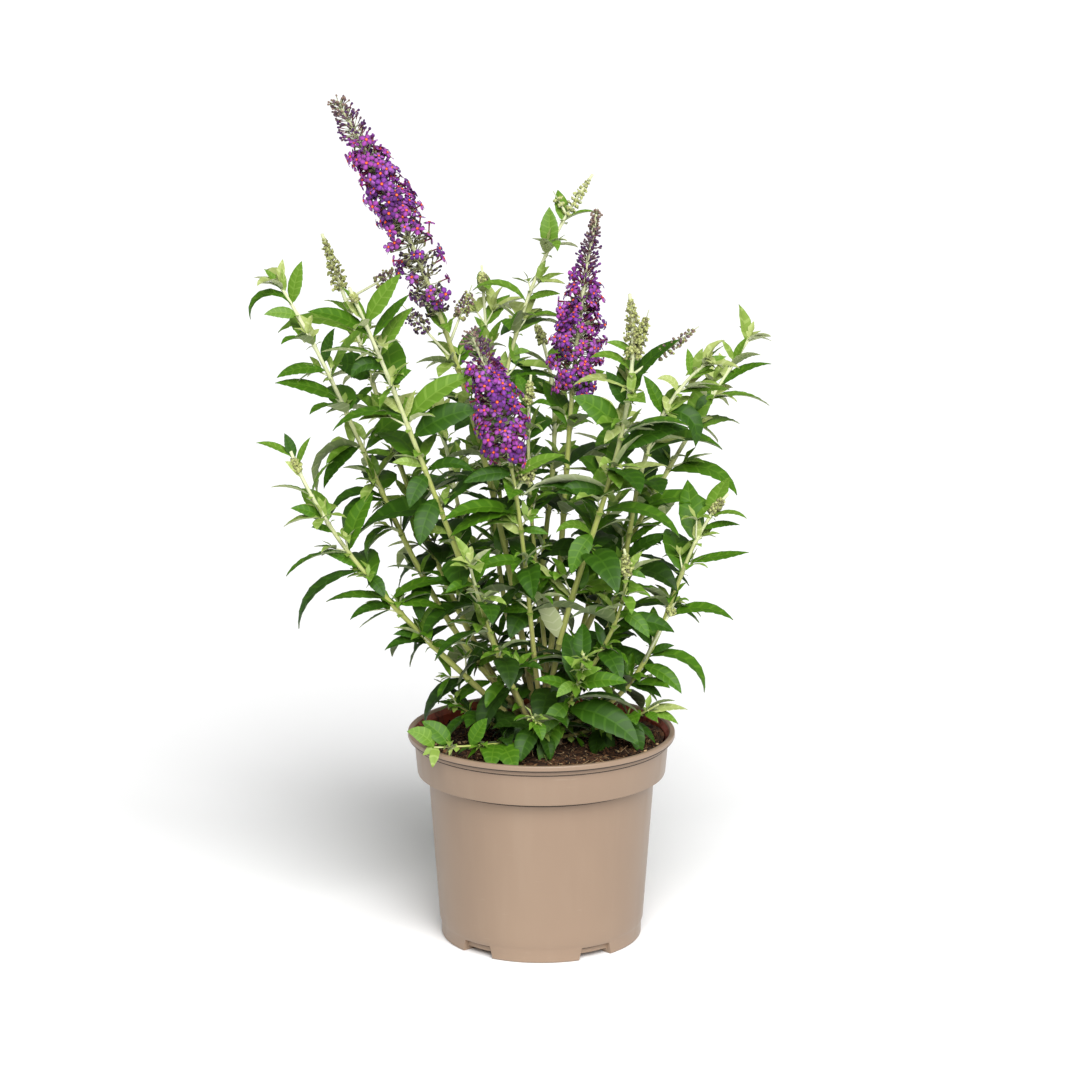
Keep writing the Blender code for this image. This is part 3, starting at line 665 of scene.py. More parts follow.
class Bloom(Enum):
    """What a flowering part wears, as (colour as seen on a screen, roughness)."""

    MAGENTA = ((153, 60, 156), 0.6)
    VIOLET = ((124, 48, 152), 0.6)
    PURPLE = ((92, 28, 116), 0.6)
    LILAC = ((158, 84, 174), 0.6)
    EYE = ((255, 136, 30), 0.45)
    EYE_RIM = ((206, 50, 34), 0.5)
    TUBE = ((112, 24, 60), 0.5)
    CLOSED = ((74, 32, 88), 0.6)
    DUSKY = ((96, 72, 84), 0.7)
    WITHERED = ((52, 38, 50), 0.8)
    OLIVE = ((124, 122, 84), 0.75)
    GREEN_BUD = ((156, 162, 94), 0.75)
    PALE_BUD = ((184, 189, 124), 0.75)
    BROWN_BUD = ((128, 104, 92), 0.75)
    RACHIS = ((176, 182, 142), 0.8)
    CLUB = ((116, 46, 132), 0.6)

    @property
    def number(self) -> int:
        """The part's slot number."""
        return list(Bloom).index(self)


def bloom_finishes() -> list[Material]:
    """One material for each flowering part, in slot order."""
    return [plain("bloom_" + part.name.lower(), *part.value, felt=0.08, specular=0.3) for part in Bloom]


# --- pot, soil and stump ---


def beside(radius: float, height: float, *moves: tuple[float, float]) -> list[tuple[float, float]]:
    """Corners of a profile, each so many millimetres further out than a place and above it."""
    return [(radius + out * MM, height + up * MM) for out, up in moves]


@dataclass
class Pot:
    """A turned pot: a tapered wall, a deep collar, a lip with two grooves, and a notched foot ring.

    Angles are in degrees. seams are the heights of the dark lines of painted shade, under the lip's edge, in
    the groove below it and on the wall under the collar; cheek is the step between the two columns at a side
    of a notch, and crease is the angle above which an edge is sharp.
    """

    rim: float = 95.0 * MM
    rim_inner: float = 91.0 * MM
    height: float = 150.0 * MM
    lip: float = 4.6 * MM
    collar_top: float = 90.2 * MM
    collar_bottom: float = 88.4 * MM
    ledge: float = 119.5 * MM
    wall_top: float = 80.6 * MM
    wall_bottom: float = 73.0 * MM
    foot_top: float = 12.0 * MM
    foot: float = 71.6 * MM
    thickness: float = 1.9 * MM
    floor: float = 7.0 * MM
    underside: float = 4.0 * MM
    foot_ring: float = 9.0 * MM
    pad: float = 14.0 * MM
    notches: int = 5
    first_notch: float = 230.5
    notch_angle: float = 18.5
    notch_height: float = 8.8 * MM
    notch_lean: float = 1.5
    cheek: float = 0.06
    crease: float = 32.0
    pole: float = 0.05 * MM
    # painted shade: heights of dark bands under the lip's edge, in the groove below it and on the wall under
    # the collar, then their half width and colour
    seams: tuple = (146.1 * MM, 142.1 * MM, 117.75 * MM)
    seam_half: float = 0.36 * MM
    seam_colour: tuple = (58, 47, 39)
    sides: int = 200
    finish: PotPlastic = field(default_factory=PotPlastic)
    lining: PotLining = field(default_factory=PotLining)

    def outside(self) -> list[tuple[float, float]]:
        """The outer profile, with rounded edges.

        Returns:
            (radius, height) of its corners, from the rim down to the wall.
        """
        lip, rounding = self.height - self.lip, 1.1 * MM
        edge = [(self.rim - rounding * (1 - math.sin(a)), self.height - rounding * (1 - math.cos(a)))
                for a in np.linspace(0, math.pi / 2, 5)]
        edge += beside(self.rim, lip, (0, 1.4), (-0.3, 1.1), (-0.5, 0.3))
        collar = beside(self.collar_top, lip, (1.4, -0.2), (1.35, -0.7), (1.2, -2.7), (0.65, -2.95),
                        (0.55, -3.65), (0, -3.9))
        collar += beside(self.collar_bottom, self.ledge, (0, 1.6), (-0.3, 0.6), (-1.2, 0.1))
        return edge + collar + beside(self.wall_top, self.ledge, (1.6, 0), (0.4, -0.8), (0, -2.7))

    def wall(self, heights: Array) -> Array:
        """Outer radii of the tapered wall at heights."""
        share = (heights - self.foot_top) / (self.ledge - self.foot_top)
        return self.wall_bottom + (self.wall_top - self.wall_bottom) * share

    def build(self) -> None:
        """Turn the pot, its lining and its foot.

        The profile is the same at every bearing but for the corners of the foot ring: inside a notch
        they are lifted to the notch's roof, and two columns at each side of it make leaning cheeks.
        """
        bearings, open_share, lean = self.bearings()
        outer = self.outside()
        down = np.linspace(outer[-1][1], self.foot_top + 0.7 * MM, 14)[1:]
        outer += [*zip(self.wall(down), down), *beside(self.foot, self.foot_top, (0.8, -1.4), (0.3, -3.0))]
        wall_corners = len(outer)
        ring = self.foot - self.foot_ring
        foot = beside(self.foot, 0.0, (0.1, 0.8), (-0.6, 0), (-3.1, 0), (-3.2, 0)) + [(ring, 0.0)]
        roof = [self.notch_height] * 3 + [self.underside] * 2
        under = [(ring - 1.0 * MM, self.underside), (self.pad + 2.0 * MM, self.underside), (self.pad, 0.0),
                 (self.pole, 0.0)]
        shelf = self.notch_height + 1.6 * MM
        up = np.linspace(shelf, self.ledge + 2.0 * MM, 6)
        inside = [(self.pole, self.floor), (self.foot - 5.2 * MM, self.floor), (self.foot - 3.5 * MM, shelf),
                  *zip(self.wall(up) - self.thickness, up),
                  (self.collar_bottom - self.thickness, self.ledge + 4.0 * MM),
                  (self.collar_top - self.thickness, self.height - self.lip)]
        lining_end = len(outer + foot + under + inside)
        rim = beside(self.rim_inner, self.height, (0, -1.4), (0.6, -0.3), (1.4, 0))
        rim += beside(self.rim, self.height, (-1.1, 0))
        profile = np.array(outer + foot + under + inside + rim)
        heights = np.tile(profile[:, 1], (len(bearings), 1))
        lifted = slice(wall_corners, wall_corners + len(foot))
        heights[:, lifted] += open_share[:, None] * (np.array(roof) - np.array([z for _, z in foot]))
        leaning = np.tile(bearings[:, None], (1, len(profile)))
        leaning[:, lifted] += np.radians(self.notch_lean) * lean[:, None]
        points, faces = turned(profile[:, 0], heights, leaning)
        slots = np.zeros((len(bearings), len(profile) - 1), int)
        slots[:, wall_corners + len(foot) + len(under):lining_end] = 1
        # faces at those heights wear a dark plain finish: painted shade under the lip, in its groove and
        # under the collar
        middle = (profile[1:wall_corners, 1] + profile[:wall_corners - 1, 1]) / 2
        away = np.abs(middle[:, None] - np.array(self.seams)).min(axis=1)
        slots[:, :wall_corners - 1][:, away < self.seam_half] = 2
        finishes = [self.finish.material(), self.lining.material(), plain("pot_seam", self.seam_colour, 0.7)]
        made = piece("pot_shell", Patch(points, faces, slots.ravel()), finishes, ["pot"])
        made.data.set_sharp_from_angle(angle=math.radians(self.crease))

    def bearings(self) -> tuple[Array, Array, Array]:
        """Bearings of the turned columns, evenly round but for two at each cheek of a notch.

        Returns:
            Bearings in radians, 1 where one is inside a notch, and which way its cheek leans.
        """
        middles = self.first_notch + np.arange(self.notches) * 360 / self.notches
        even = np.arange(self.sides) * 360 / self.sides
        away = np.abs((even[:, None] - middles + 180) % 360 - 180)
        half = self.notch_angle / 2
        clear = (np.abs(away - half) > self.notch_lean + 0.3).all(axis=1)
        inside = (away < half).any(axis=1)
        cheeks = np.concatenate([middles - half, middles + half])
        out = np.repeat([-1.0, 1.0], self.notches)
        none = np.zeros(len(cheeks))
        bearings = np.concatenate([even[clear], cheeks, cheeks - self.cheek * out]) % 360
        share = np.concatenate([inside[clear], none, none + 1])
        lean = np.concatenate([np.zeros(clear.sum()), out, none])
        order = np.argsort(bearings)
        return np.radians(bearings[order]), share[order].astype(float), lean[order]


class Crumb(Enum):
    """What a loose bit of the soil wears, as seen on a screen."""

    BLACK = (34, 23, 17)
    BROWN = (78, 52, 34)
    TAN = (124, 92, 62)
    STRAW = (178, 150, 112)


@dataclass
class Soil:
    """Peat, a little mounded, with crumbs and fibres lying on it and a few standing up.

    Its body narrows from its edge to the shoulder (radius, height) and on to its underside.
    """

    radius: float = 87.3 * MM
    edge: float = 138.4 * MM
    top: float = 140.6 * MM
    bank: float = 7.0 * MM
    depth: float = 7.4 * MM
    underside: float = 69.0 * MM
    shoulder: tuple = (78.0 * MM, 119.0 * MM)
    rings: int = 52
    crumbs: int = 2600
    fibres: int = 1500
    finish: Peat = field(default_factory=Peat)

    def surface(self, x: Array, y: Array) -> Array:
        """Height of the soil: a low mound, banked up against the right of the pot, rippled at three sizes.

        Args:
            x, y: where it is read.

        Returns:
            Heights in metres.
        """
        away = np.hypot(x, y) / self.radius
        at = np.stack([x, y, np.zeros_like(x)], axis=-1)
        bumps = 0.9 * ripple(at, 26 * MM, 3) + 0.6 * ripple(at, 9 * MM, 4) + 0.35 * ripple(at, 3.6 * MM, 5)
        bank = self.bank * np.clip(x - 0.35 * y, 0, None) ** 1.5 / self.radius ** 1.5 * away
        return self.top + (self.edge - self.top) * away ** 2 + bank + bumps * MM * 0.8

    def build(self) -> None:
        """Lay the soil's body, then its crumbs and fibres."""
        bearings = np.radians(np.arange(0, 360, 2.0))
        rings = self.radius * np.linspace(1, 0.002, self.rings)
        tops = self.surface(rings * np.cos(bearings)[:, None], rings * np.sin(bearings)[:, None])
        radii = np.concatenate([[0.1 * MM, self.underside, self.shoulder[0]], rings])
        below = np.tile([self.depth, self.depth, self.shoulder[1]], (len(bearings), 1))
        body = Patch(*turned(radii[::-1], np.hstack([below, tops])[:, ::-1], bearings))
        piece("soil_body", body, [self.finish.material()], ["soil"])
        finishes = [plain("crumb_" + crumb.name.lower(), crumb.value, 0.9, specular=0.2) for crumb in Crumb]
        dice = np.random.default_rng(11)
        piece("soil_crumbs", self.loose_crumbs(dice), finishes, flat=True)
        piece("soil_fibres", self.loose_fibres(dice), finishes)

    def scattered(self, dice: Dice, count: int, reach: float, lift: float) -> Array:
        """Places spread evenly over the soil.

        Args:
            dice: the soil's dice.
            count: how many.
            reach: how far out, as a share of the radius.
            lift: how far above the soil.

        Returns:
            (count, 3) points.
        """
        away = self.radius * reach * np.sqrt(dice.random(count))
        bearing = dice.uniform(0, 2 * math.pi, count)
        x, y = away * np.cos(bearing), away * np.sin(bearing)
        return np.stack([x, y, self.surface(x, y) + lift], axis=-1)

    def loose_crumbs(self, dice: Dice) -> Patch:
        """Crumbs: flattened beads of uneven size, sunk halfway.

        Args:
            dice: the soil's dice.

        Returns:
            All the crumbs.
        """
        places = self.scattered(dice, self.crumbs, 0.985, 0.3 * MM)
        bead = turned_bead((0.05, 0.8, 0.9, 0.05), (-0.7, -0.3, 0.35, 0.75), 5, (0, 0, 0))
        size = (0.4 + 2.3 * dice.random(self.crumbs) ** 3.5)[:, None] * MM
        sizes = size * dice.uniform((0.7, 0.6, 0.45), (1.3, 1.1, 0.9), (self.crumbs, 3))
        axes = frames(unit(dice.normal(size=(self.crumbs, 3))), dice.uniform(0, 6, self.crumbs))
        kind = dice.choice(4, self.crumbs, p=(0.46, 0.34, 0.14, 0.06))
        return stamped(bead, places, axes, sizes, kind)

    def loose_fibres(self, dice: Dice) -> Patch:
        """Fibres: short bent threads, most lying down, some standing up, all inside the rim.

        Args:
            dice: the soil's dice.

        Returns:
            All the fibres.
        """
        count, steps = self.fibres, 5
        places = self.scattered(dice, count, 0.95, 0.2 * MM)
        heading = dice.uniform(0, 2 * math.pi, count)
        standing = dice.random(count) < 0.12
        climb = np.where(standing, dice.uniform(0.4, 1.3, count), dice.uniform(-0.08, 0.3, count))
        length = dice.uniform(3, 13, count) * MM * np.where(climb > 0.35, 0.8, 1.0)
        share = np.linspace(0, 1, steps)
        bend = dice.normal(0, 0.8, (count, 1)) * share
        sag = dice.normal(-0.3, 0.5, (count, 1)) * share
        ways = polar(heading[:, None] + bend, climb[:, None] + sag)
        moves = np.cumsum(ways, axis=1) * (length / steps)[:, None, None]
        paths = places[:, None] + moves - moves[:, :1]
        away = np.hypot(paths[..., 0], paths[..., 1])
        pull = np.minimum(1, (self.radius * 0.985) / np.maximum(away, 1e-6))
        paths[..., :2] *= pull[..., None]
        floor = self.surface(paths[..., 0], paths[..., 1]) + 0.1 * MM
        paths[..., 2] = np.maximum(paths[..., 2], floor)
        radii = dice.uniform(0.1, 0.34, (count, 1)) * MM * (1 - 0.5 * share)
        kind = dice.choice(4, count, p=(0.22, 0.36, 0.27, 0.15))
        return tubes(paths, radii, 3, kind)


@dataclass
class Stump:
    """The short woody foot that the canes spring from: a flared, ridged and knobbly stub."""

    soil: float = 140.8 * MM
    height: float = 28.0 * MM
    foot: float = 14.0 * MM
    top: float = 11.0 * MM
    flare: float = 1.5 * MM
    finish: Bark = field(default_factory=Bark)

    def radius(self, rise: Array | float) -> Array:
        """Its radius at a height above the soil, flared at its foot."""
        share = np.clip(np.asarray(rise) / self.height, 0, 1)
        return self.foot + (self.top - self.foot) * share + self.flare * (1 - share) ** 4

    def build(self) -> None:
        """Turn the stub, with lengthwise ridges and knots, and close its top in a low dome."""
        bearings = np.radians(np.arange(0, 360, 4.0))
        rise = np.concatenate([[-1.5 * MM], np.linspace(0, self.height - 2 * MM, 16)])
        dome = np.linspace(0, math.pi / 2, 7)[1:]
        radii = np.concatenate([self.radius(rise), self.top * np.cos(dome) + 0.02 * MM])
        heights = self.soil + np.concatenate([rise, self.height - 2 * MM + 1.9 * MM * np.sin(dome)])
        at = np.stack([np.outer(np.cos(bearings), radii), np.outer(np.sin(bearings), radii),
                       np.tile(heights * 0.3, (len(bearings), 1))], axis=-1)
        knobs = 1 + 0.05 * ripple(at, 7 * MM, 21) + 0.04 * ripple(at, 3 * MM, 22)
        stub = Patch(*turned((radii * knobs)[:, ::-1], heights[::-1], bearings))
        piece("woody_foot", stub, [self.finish.material()], ["stump"])


# --- canes ---


class SpikeKind(Enum):
    """What a spike is made of."""

    OPEN = "open flowers"
    GREEN = "green buds"
    LOOSE = "loose green buds"
    BROWN = "browned buds"
    DARK = "withered flowers"


@dataclass(frozen=True)
class SideSpike:
    """A spike on a side twig: millimetres below the cane's tip, bearing and climb in degrees."""

    below_tip: float
    bearing: float
    climb: float
    twig: float
    spike: float
    radius: float
    kind: SpikeKind = SpikeKind.GREEN


@dataclass(frozen=True)
class Cane:
    """One cane, by the same rule as its solids. Angles are in degrees and lengths in millimetres.

    It leaves the stump at a bearing (0 right, 90 back) and a rise above the soil; a rise above the
    stump's own height puts it on the stump's top. lean_x is its lean to the right at foot, middle and
    tip, lean_y its lean to the back at foot and tip. Below bare its solid carries no leaf. withered
    and closed are the shares of a spike in flower below and above which no flower is open.
    """

    name: str
    bearing: float
    rise: float
    lean_x: tuple
    lean_y: tuple
    length: float
    bare: float
    leaf: float
    gap: float
    turn: float = 0.0
    spike: float = 0.0
    spike_radius: float = 0.0
    kind: SpikeKind = SpikeKind.GREEN
    girth: float = 1.0
    side_spikes: tuple = ()
    withered: float = 0.0
    closed: float = 0.62
    taper: float = 0.85


CANES = (
    Cane("low_left", 196, 10, (-44, -40, -19), (-13, -8), 265, 46, 58, 36, spike=15, spike_radius=3.4),
    Cane("left", 176, 20, (-45, -24, -32), (-3, 6), 347, 74, 60, 38),
    Cane("left_back", 152, 12, (-36, -20, -21), (13, 11), 378, 84, 56, 40, turn=45, spike=43,
         spike_radius=6.5, side_spikes=(SideSpike(52, 25, 25, 26, 26, 6.5, SpikeKind.BROWN),)),
    Cane("left_front", 214, 22, (-23, -19, -22), (-9, -19), 345, 82, 68, 40, spike=11, spike_radius=2.6),
    Cane("tall_left", 150, 40, (-9, -16, -32), (-2, -4), 456, 96, 58, 42, turn=30, spike=166,
         spike_radius=19.5, kind=SpikeKind.OPEN, withered=0.36, closed=0.7, taper=0.58,
         side_spikes=(SideSpike(205, 185, 48, 30, 26, 7.5, SpikeKind.DARK),
                      SideSpike(170, 205, 40, 16, 14, 5.0, SpikeKind.DARK),
                      SideSpike(190, 15, 68, 18, 26, 7.0, SpikeKind.BROWN))),
    Cane("centre_front", 262, 40, (-7, -7, -24), (-20, -1), 290, 70, 54, 34, spike=98,
         spike_radius=19.5, kind=SpikeKind.OPEN, closed=0.6, taper=0.62, girth=0.8,
         side_spikes=(SideSpike(122, 10, 60, 10, 16, 7.0),)),
    Cane("centre_back", 80, 40, (10, 4, 13), (8, 11), 355, 88, 62, 38, turn=20, spike=134,
         spike_radius=21.5, kind=SpikeKind.OPEN, closed=0.5, taper=1.3),
    Cane("tall_centre", 108, 20, (-22, 6, 36), (16, 11), 402, 110, 54, 44, turn=60, spike=36,
         spike_radius=5.0, kind=SpikeKind.LOOSE, girth=0.85,
         side_spikes=(SideSpike(36, 170, 60, 8, 12, 4.0, SpikeKind.LOOSE),)),
    Cane("right_front", 322, 40, (5, 16, -9), (-14, -9), 316, 78, 64, 36, spike=46, spike_radius=7.5,
         side_spikes=(SideSpike(60, 10, 35, 22, 36, 5.5, SpikeKind.BROWN),
                      SideSpike(52, 30, 70, 10, 30, 6.0))),
    Cane("right", 14, 20, (49, 9, 51), (24, -13), 276, 62, 64, 36, turn=15),
    Cane("upper_right", 40, 24, (21, 30, 34), (21, 18), 298, 70, 64, 40, turn=70),
    Cane("short_right_front", 326, 14, (23, 24, -13), (-18, -17), 154, 34, 48, 27, spike=21,
         spike_radius=4.5, girth=0.8),
    Cane("low_right", 352, 9, (80, 22, 44), (2, 5), 213, 48, 68, 34, turn=25, spike=19,
         spike_radius=4.2, girth=0.9, side_spikes=(SideSpike(138, 330, 62, 46, 10, 3.2),)),
    Cane("back_left", 86, 12, (-18, -7, -4), (28, 16), 338, 88, 58, 40, turn=10, spike=15,
         spike_radius=3.6, girth=0.8),
    Cane("back", 62, 22, (-18, 7, -26), (28, 26), 293, 66, 62, 37, turn=40, spike=20, spike_radius=4.0),
    Cane("centre_right", 20, 40, (-5, -5, 5), (0, 4), 236, 60, 54, 36, turn=50, spike=21,
         spike_radius=4.0, girth=0.8),
    Cane("back_right", 60, 8, (22, 15, 1), (38, 34), 247, 52, 64, 36, turn=30),
    Cane("far_back_left", 128, 10, (-30, -17, -13), (36, 33), 248, 54, 64, 36, turn=0),
    Cane("short_left_front", 240, 14, (-22, -18, -10), (-28, -26), 152, 32, 56, 29, turn=35, girth=0.85),
    Cane("front_shoot", 300, 8, (22, 18, 2), (-44, -36), 100, 0, 52, 21, turn=20, girth=0.7),
    Cane("creeping_shoot", 228, 3, (-55, -81, -88), (-77, -83), 91, 0, 28, 26, turn=80, girth=0.5),
    Cane("low_front_shoot", 268, 4, (4, -10, -22), (-62, -56), 62, 0, 48, 18, turn=40, girth=0.6),
    Cane("low_right_shoot", 338, 3, (70, 66, 48), (-48, -40), 82, 0, 44, 24, turn=10, girth=0.6),
    Cane("low_left_shoot", 202, 2, (-56, -60, -56), (-20, -8), 54, 0, 44, 18, turn=60, girth=0.6),
    Cane("low_back_shoot", 84, 3, (8, 14, 8), (52, 48), 84, 0, 52, 24, turn=30, girth=0.6),
    Cane("low_back_right_shoot", 24, 3, (58, 52, 44), (40, 40), 82, 0, 48, 24, turn=20, girth=0.6),
)


# Leaves held in a set place, by cane: millimetres from its foot, heading (0 right, 90 back), climb,
# length in millimetres, droop, roll, width in hundredths of the length, and its tint's letter. Angles are
# in degrees.
TINT_LETTERS = {tint.name[0]: tint for tint in LeafTint}
SET_LEAVES = {
    "low_left": (
        (92, -18, 9, 20, 46, 44, 36, "M"), (94, -157, 19, 34, 46, -20, 33, "D"),
        (96, -158, 32, 26, 34, -40, 33, "D"), (98, 0, 79, 27, 14, 68, 40, "F"),
        (130, -157, 14, 35, 46, -16, 33, "D"), (132, -11, 15, 40, 34, 20, 30, "M"),
        (134, 11, 47, 54, 69, 8, 30, "M"), (137, -169, 18, 44, 34, -12, 33, "M"),
        (159, -50, -5, 25, 46, 36, 40, "D"), (164, -166, 1, 67, 76, 0, 33, "D"),
        (167, -162, 44, 28, 34, -52, 33, "M"), (199, -152, 35, 18, 34, -48, 36, "M"),
        (208, -162, 42, 29, 34, -48, 33, "M"), (210, 180, 80, 17, 14, -52, 36, "Y"),
        (244, -156, 64, 18, 34, -72, 36, "S"), (253, 0, 72, 23, 14, 36, 33, "F"),
        (258, 180, 79, 20, 14, -68, 40, "D"), (260, 180, 40, 28, 34, -20, 33, "F"),
    ),
    "left": (
        (30, -160, 2, 40, 57, -16, 33, "M"), (157, -144, 39, 45, 133, 8, 30, "M"),
        (180, -157, 35, 53, 139, -8, 30, "D"), (182, -168, 40, 49, 101, -12, 30, "D"),
        (188, 180, 63, 22, 14, -40, 33, "F"), (222, -161, 34, 61, 145, 36, 30, "D"),
        (224, -155, -20, 42, 46, -20, 33, "D"), (259, -168, 33, 49, 30, -28, 33, "M"),
        (281, -162, 22, 38, 48, -28, 33, "M"), (287, -31, 76, 28, 14, 80, 40, "D"),
        (324, -163, 24, 25, 34, -60, 36, "F"), (331, -170, 66, 49, 147, -12, 30, "M"),
        (333, 0, 84, 32, 14, 56, 36, "F"), (343, 143, 89, 17, 10, -12, 33, "Y"),
        (345, 180, 57, 20, 14, -44, 33, "F"),
    ),
    "left_back": (
        (26, -103, -24, 31, 46, -12, 44, "D"), (261, 164, -22, 25, 46, -48, 33, "M"),
        (268, -130, 41, 43, 34, -80, 44, "D"), (300, 180, 44, 63, 76, -12, 33, "F"),
    ),
    "left_front": (
        (148, 180, 21, 26, 34, -28, 33, "Y"), (177, -112, -22, 41, 46, -20, 40, "D"),
        (195, -123, -17, 30, 46, -32, 44, "D"), (198, -11, 38, 37, 67, 28, 33, "D"),
        (202, -168, 28, 23, 34, -48, 33, "Y"), (225, -12, 43, 53, 34, 56, 36, "D"),
        (238, 0, 53, 58, 34, 36, 33, "F"), (240, 0, 78, 22, 14, 44, 33, "S"),
        (242, -168, 27, 54, 66, -12, 30, "M"), (244, -166, 53, 22, 34, -52, 36, "S"),
        (268, -30, 52, 20, 34, 80, 40, "M"), (278, -159, 53, 31, 110, -48, 36, "D"),
        (304, 25, 53, 40, 14, 8, 30, "M"), (306, -162, 42, 48, 34, -32, 33, "M"),
        (316, 0, 62, 42, 14, 52, 36, "F"), (320, 180, 54, 17, 14, -60, 36, "S"),
    ),
    "tall_left": (
        (25, -163, 63, 45, 108, -24, 33, "F"),
    ),
    "centre_front": (
        (78, -163, 19, 23, 34, -36, 33, "M"), (116, -168, 16, 37, 46, -28, 33, "M"),
        (137, -167, 48, 18, 34, -64, 36, "S"), (140, -11, 13, 20, 34, 48, 33, "M"),
        (144, 180, 55, 13, 34, -60, 40, "Y"), (152, -162, 28, 57, 54, -20, 30, "M"),
        (155, -168, 6, 53, 46, -12, 33, "M"), (164, 180, 64, 25, -2, -52, 36, "F"),
        (179, 0, 43, 40, 34, 28, 33, "F"), (182, -168, 11, 36, 34, -48, 33, "D"),
        (217, -40, -37, 19, 46, 40, 36, "D"),
    ),
    "tall_centre": (
        (208, 0, 68, 41, 14, 28, 33, "M"), (253, -14, 11, 24, 93, 44, 33, "D"),
        (258, 0, 28, 15, 34, 52, 36, "F"), (283, -159, -8, 19, 46, -60, 40, "D"),
        (297, 180, 57, 45, 81, -12, 33, "F"), (299, 0, 29, 25, 34, 28, 33, "F"),
        (314, 0, 52, 15, 14, 56, 36, "Y"), (339, 86, 89, 30, 7, 0, 45, "F"),
    ),
    "right_front": (
        (51, -156, 71, 42, 14, 44, 36, "S"), (82, 180, 54, 29, 14, -28, 33, "F"),
        (85, 180, 54, 42, 18, -16, 30, "S"), (88, -11, 36, 60, 65, 16, 33, "F"),
        (135, -166, 62, 31, 97, -28, 33, "F"), (137, -133, -24, 35, 46, -36, 40, "M"),
        (169, -163, 22, 37, 34, -48, 36, "D"), (173, -174, 27, 63, 57, 28, 33, "S"),
        (175, 0, 45, 45, 50, 12, 30, "S"), (200, -6, 39, 53, 34, 40, 33, "D"),
        (214, -160, 56, 46, 34, -72, 40, "M"), (219, -152, -11, 19, 46, -52, 40, "S"),
        (234, -159, 66, 30, 14, -80, 40, "D"), (246, 180, 41, 42, 66, -16, 30, "S"),
        (249, 0, 62, 48, 34, 28, 33, "D"), (259, -168, 62, 34, 76, -24, 33, "F"),
        (273, 180, 40, 20, 34, -44, 33, "F"),
    ),
    "right": (
        (54, -18, 0, 52, 46, 16, 30, "D"), (59, -154, 24, 32, 34, -60, 36, "D"),
        (66, -100, -30, 32, 46, -8, 40, "D"), (71, -11, 52, 74, 87, 4, 33, "M"),
        (120, -6, 47, 39, 34, 40, 33, "D"), (129, 14, 50, 33, 34, 12, 30, "M"),
        (152, -13, 43, 67, 70, 16, 30, "M"), (164, 0, 59, 28, 34, 28, 33, "F"),
        (226, -27, 44, 46, 150, 40, 33, "D"), (228, 180, 71, 32, 14, -52, 36, "M"),
        (247, -175, 89, 21, 98, -48, 33, "S"), (260, -12, 38, 21, 34, 44, 33, "F"),
        (262, -179, 89, 21, 12, -60, 36, "F"), (264, 0, 48, 28, 34, 48, 33, "F"),
        (266, 0, 81, 19, 14, 64, 40, "Y"),
    ),
    "upper_right": (
        (2, -169, 31, 35, 34, -56, 36, "D"), (185, -11, 30, 61, 83, 20, 30, "M"),
        (251, -158, -13, 19, 46, -56, 40, "D"), (257, 0, 47, 44, 41, 16, 33, "M"),
        (266, 180, 85, 19, 14, -76, 40, "S"), (278, 0, 71, 22, 14, 44, 33, "F"),
        (280, 180, 66, 19, 14, -48, 33, "Y"),
    ),
    "short_right_front": (
        (103, -34, -7, 31, 46, 36, 36, "M"), (132, -169, 17, 19, 34, -36, 33, "F"),
        (134, -12, 13, 15, 46, 44, 36, "M"), (136, 0, 58, 18, 14, 52, 33, "Y"),
    ),
    "low_right": (
        (58, -18, 9, 27, 46, 32, 33, "D"), (75, -32, -1, 38, 46, 28, 33, "M"),
        (81, -17, 28, 58, 101, 8, 30, "M"), (84, -18, 41, 21, 34, 44, 33, "D"),
        (112, -13, 37, 53, 64, 12, 33, "M"), (155, 0, 13, 45, 6, 12, 30, "M"),
        (172, 2, 89, 16, 13, 72, 44, "S"), (181, 0, 25, 28, 34, 20, 33, "M"),
    ),
    "back_left": (
        (274, 0, 73, 26, 14, 40, 33, "F"), (288, 180, 61, 15, 14, -56, 36, "F"),
    ),
    "short_left_front": (
        (4, -130, -17, 26, 46, -36, 40, "D"),
    ),
    "front_shoot": (
        (17, -118, -18, 39, 46, -24, 40, "M"), (36, -30, 7, 63, 46, 36, 36, "D"),
        (42, -135, -12, 31, 46, -40, 40, "M"), (58, -168, 37, 31, 34, -40, 33, "M"),
        (63, -17, 27, 38, 34, 44, 36, "M"), (66, -144, 4, 20, 46, -48, 40, "F"),
        (74, -12, 43, 18, 34, 60, 36, "F"), (79, -165, 63, 19, 34, -64, 36, "F"),
    ),
    "creeping_shoot": (
        (42, -70, 10, 41, 46, 12, 42, "M"), (44, -96, 9, 36, 46, -4, 42, "M"),
        (65, 0, 67, 24, 14, 60, 50, "M"), (80, 172, 61, 27, 34, -52, 50, "M"),
        (87, -162, 5, 14, 46, -52, 46, "Y"), (89, -100, -14, 18, 46, -12, 40, "Y"),
        (91, -173, 67, 24, 61, -64, 50, "F"),
    ),
    "low_right_shoot": (
        (54, -58, -30, 29, 46, 28, 40, "D"), (65, -6, 26, 34, 34, 20, 33, "S"),
        (69, -12, 8, 26, 46, 28, 33, "F"),
    ),
}


def between(distance: Array | float, marks: Array, rows: Array) -> Array:
    """Vectors at distances, read straight between the marks where they are known."""
    return np.stack([np.interp(distance, marks, column) for column in rows.T], axis=-1)


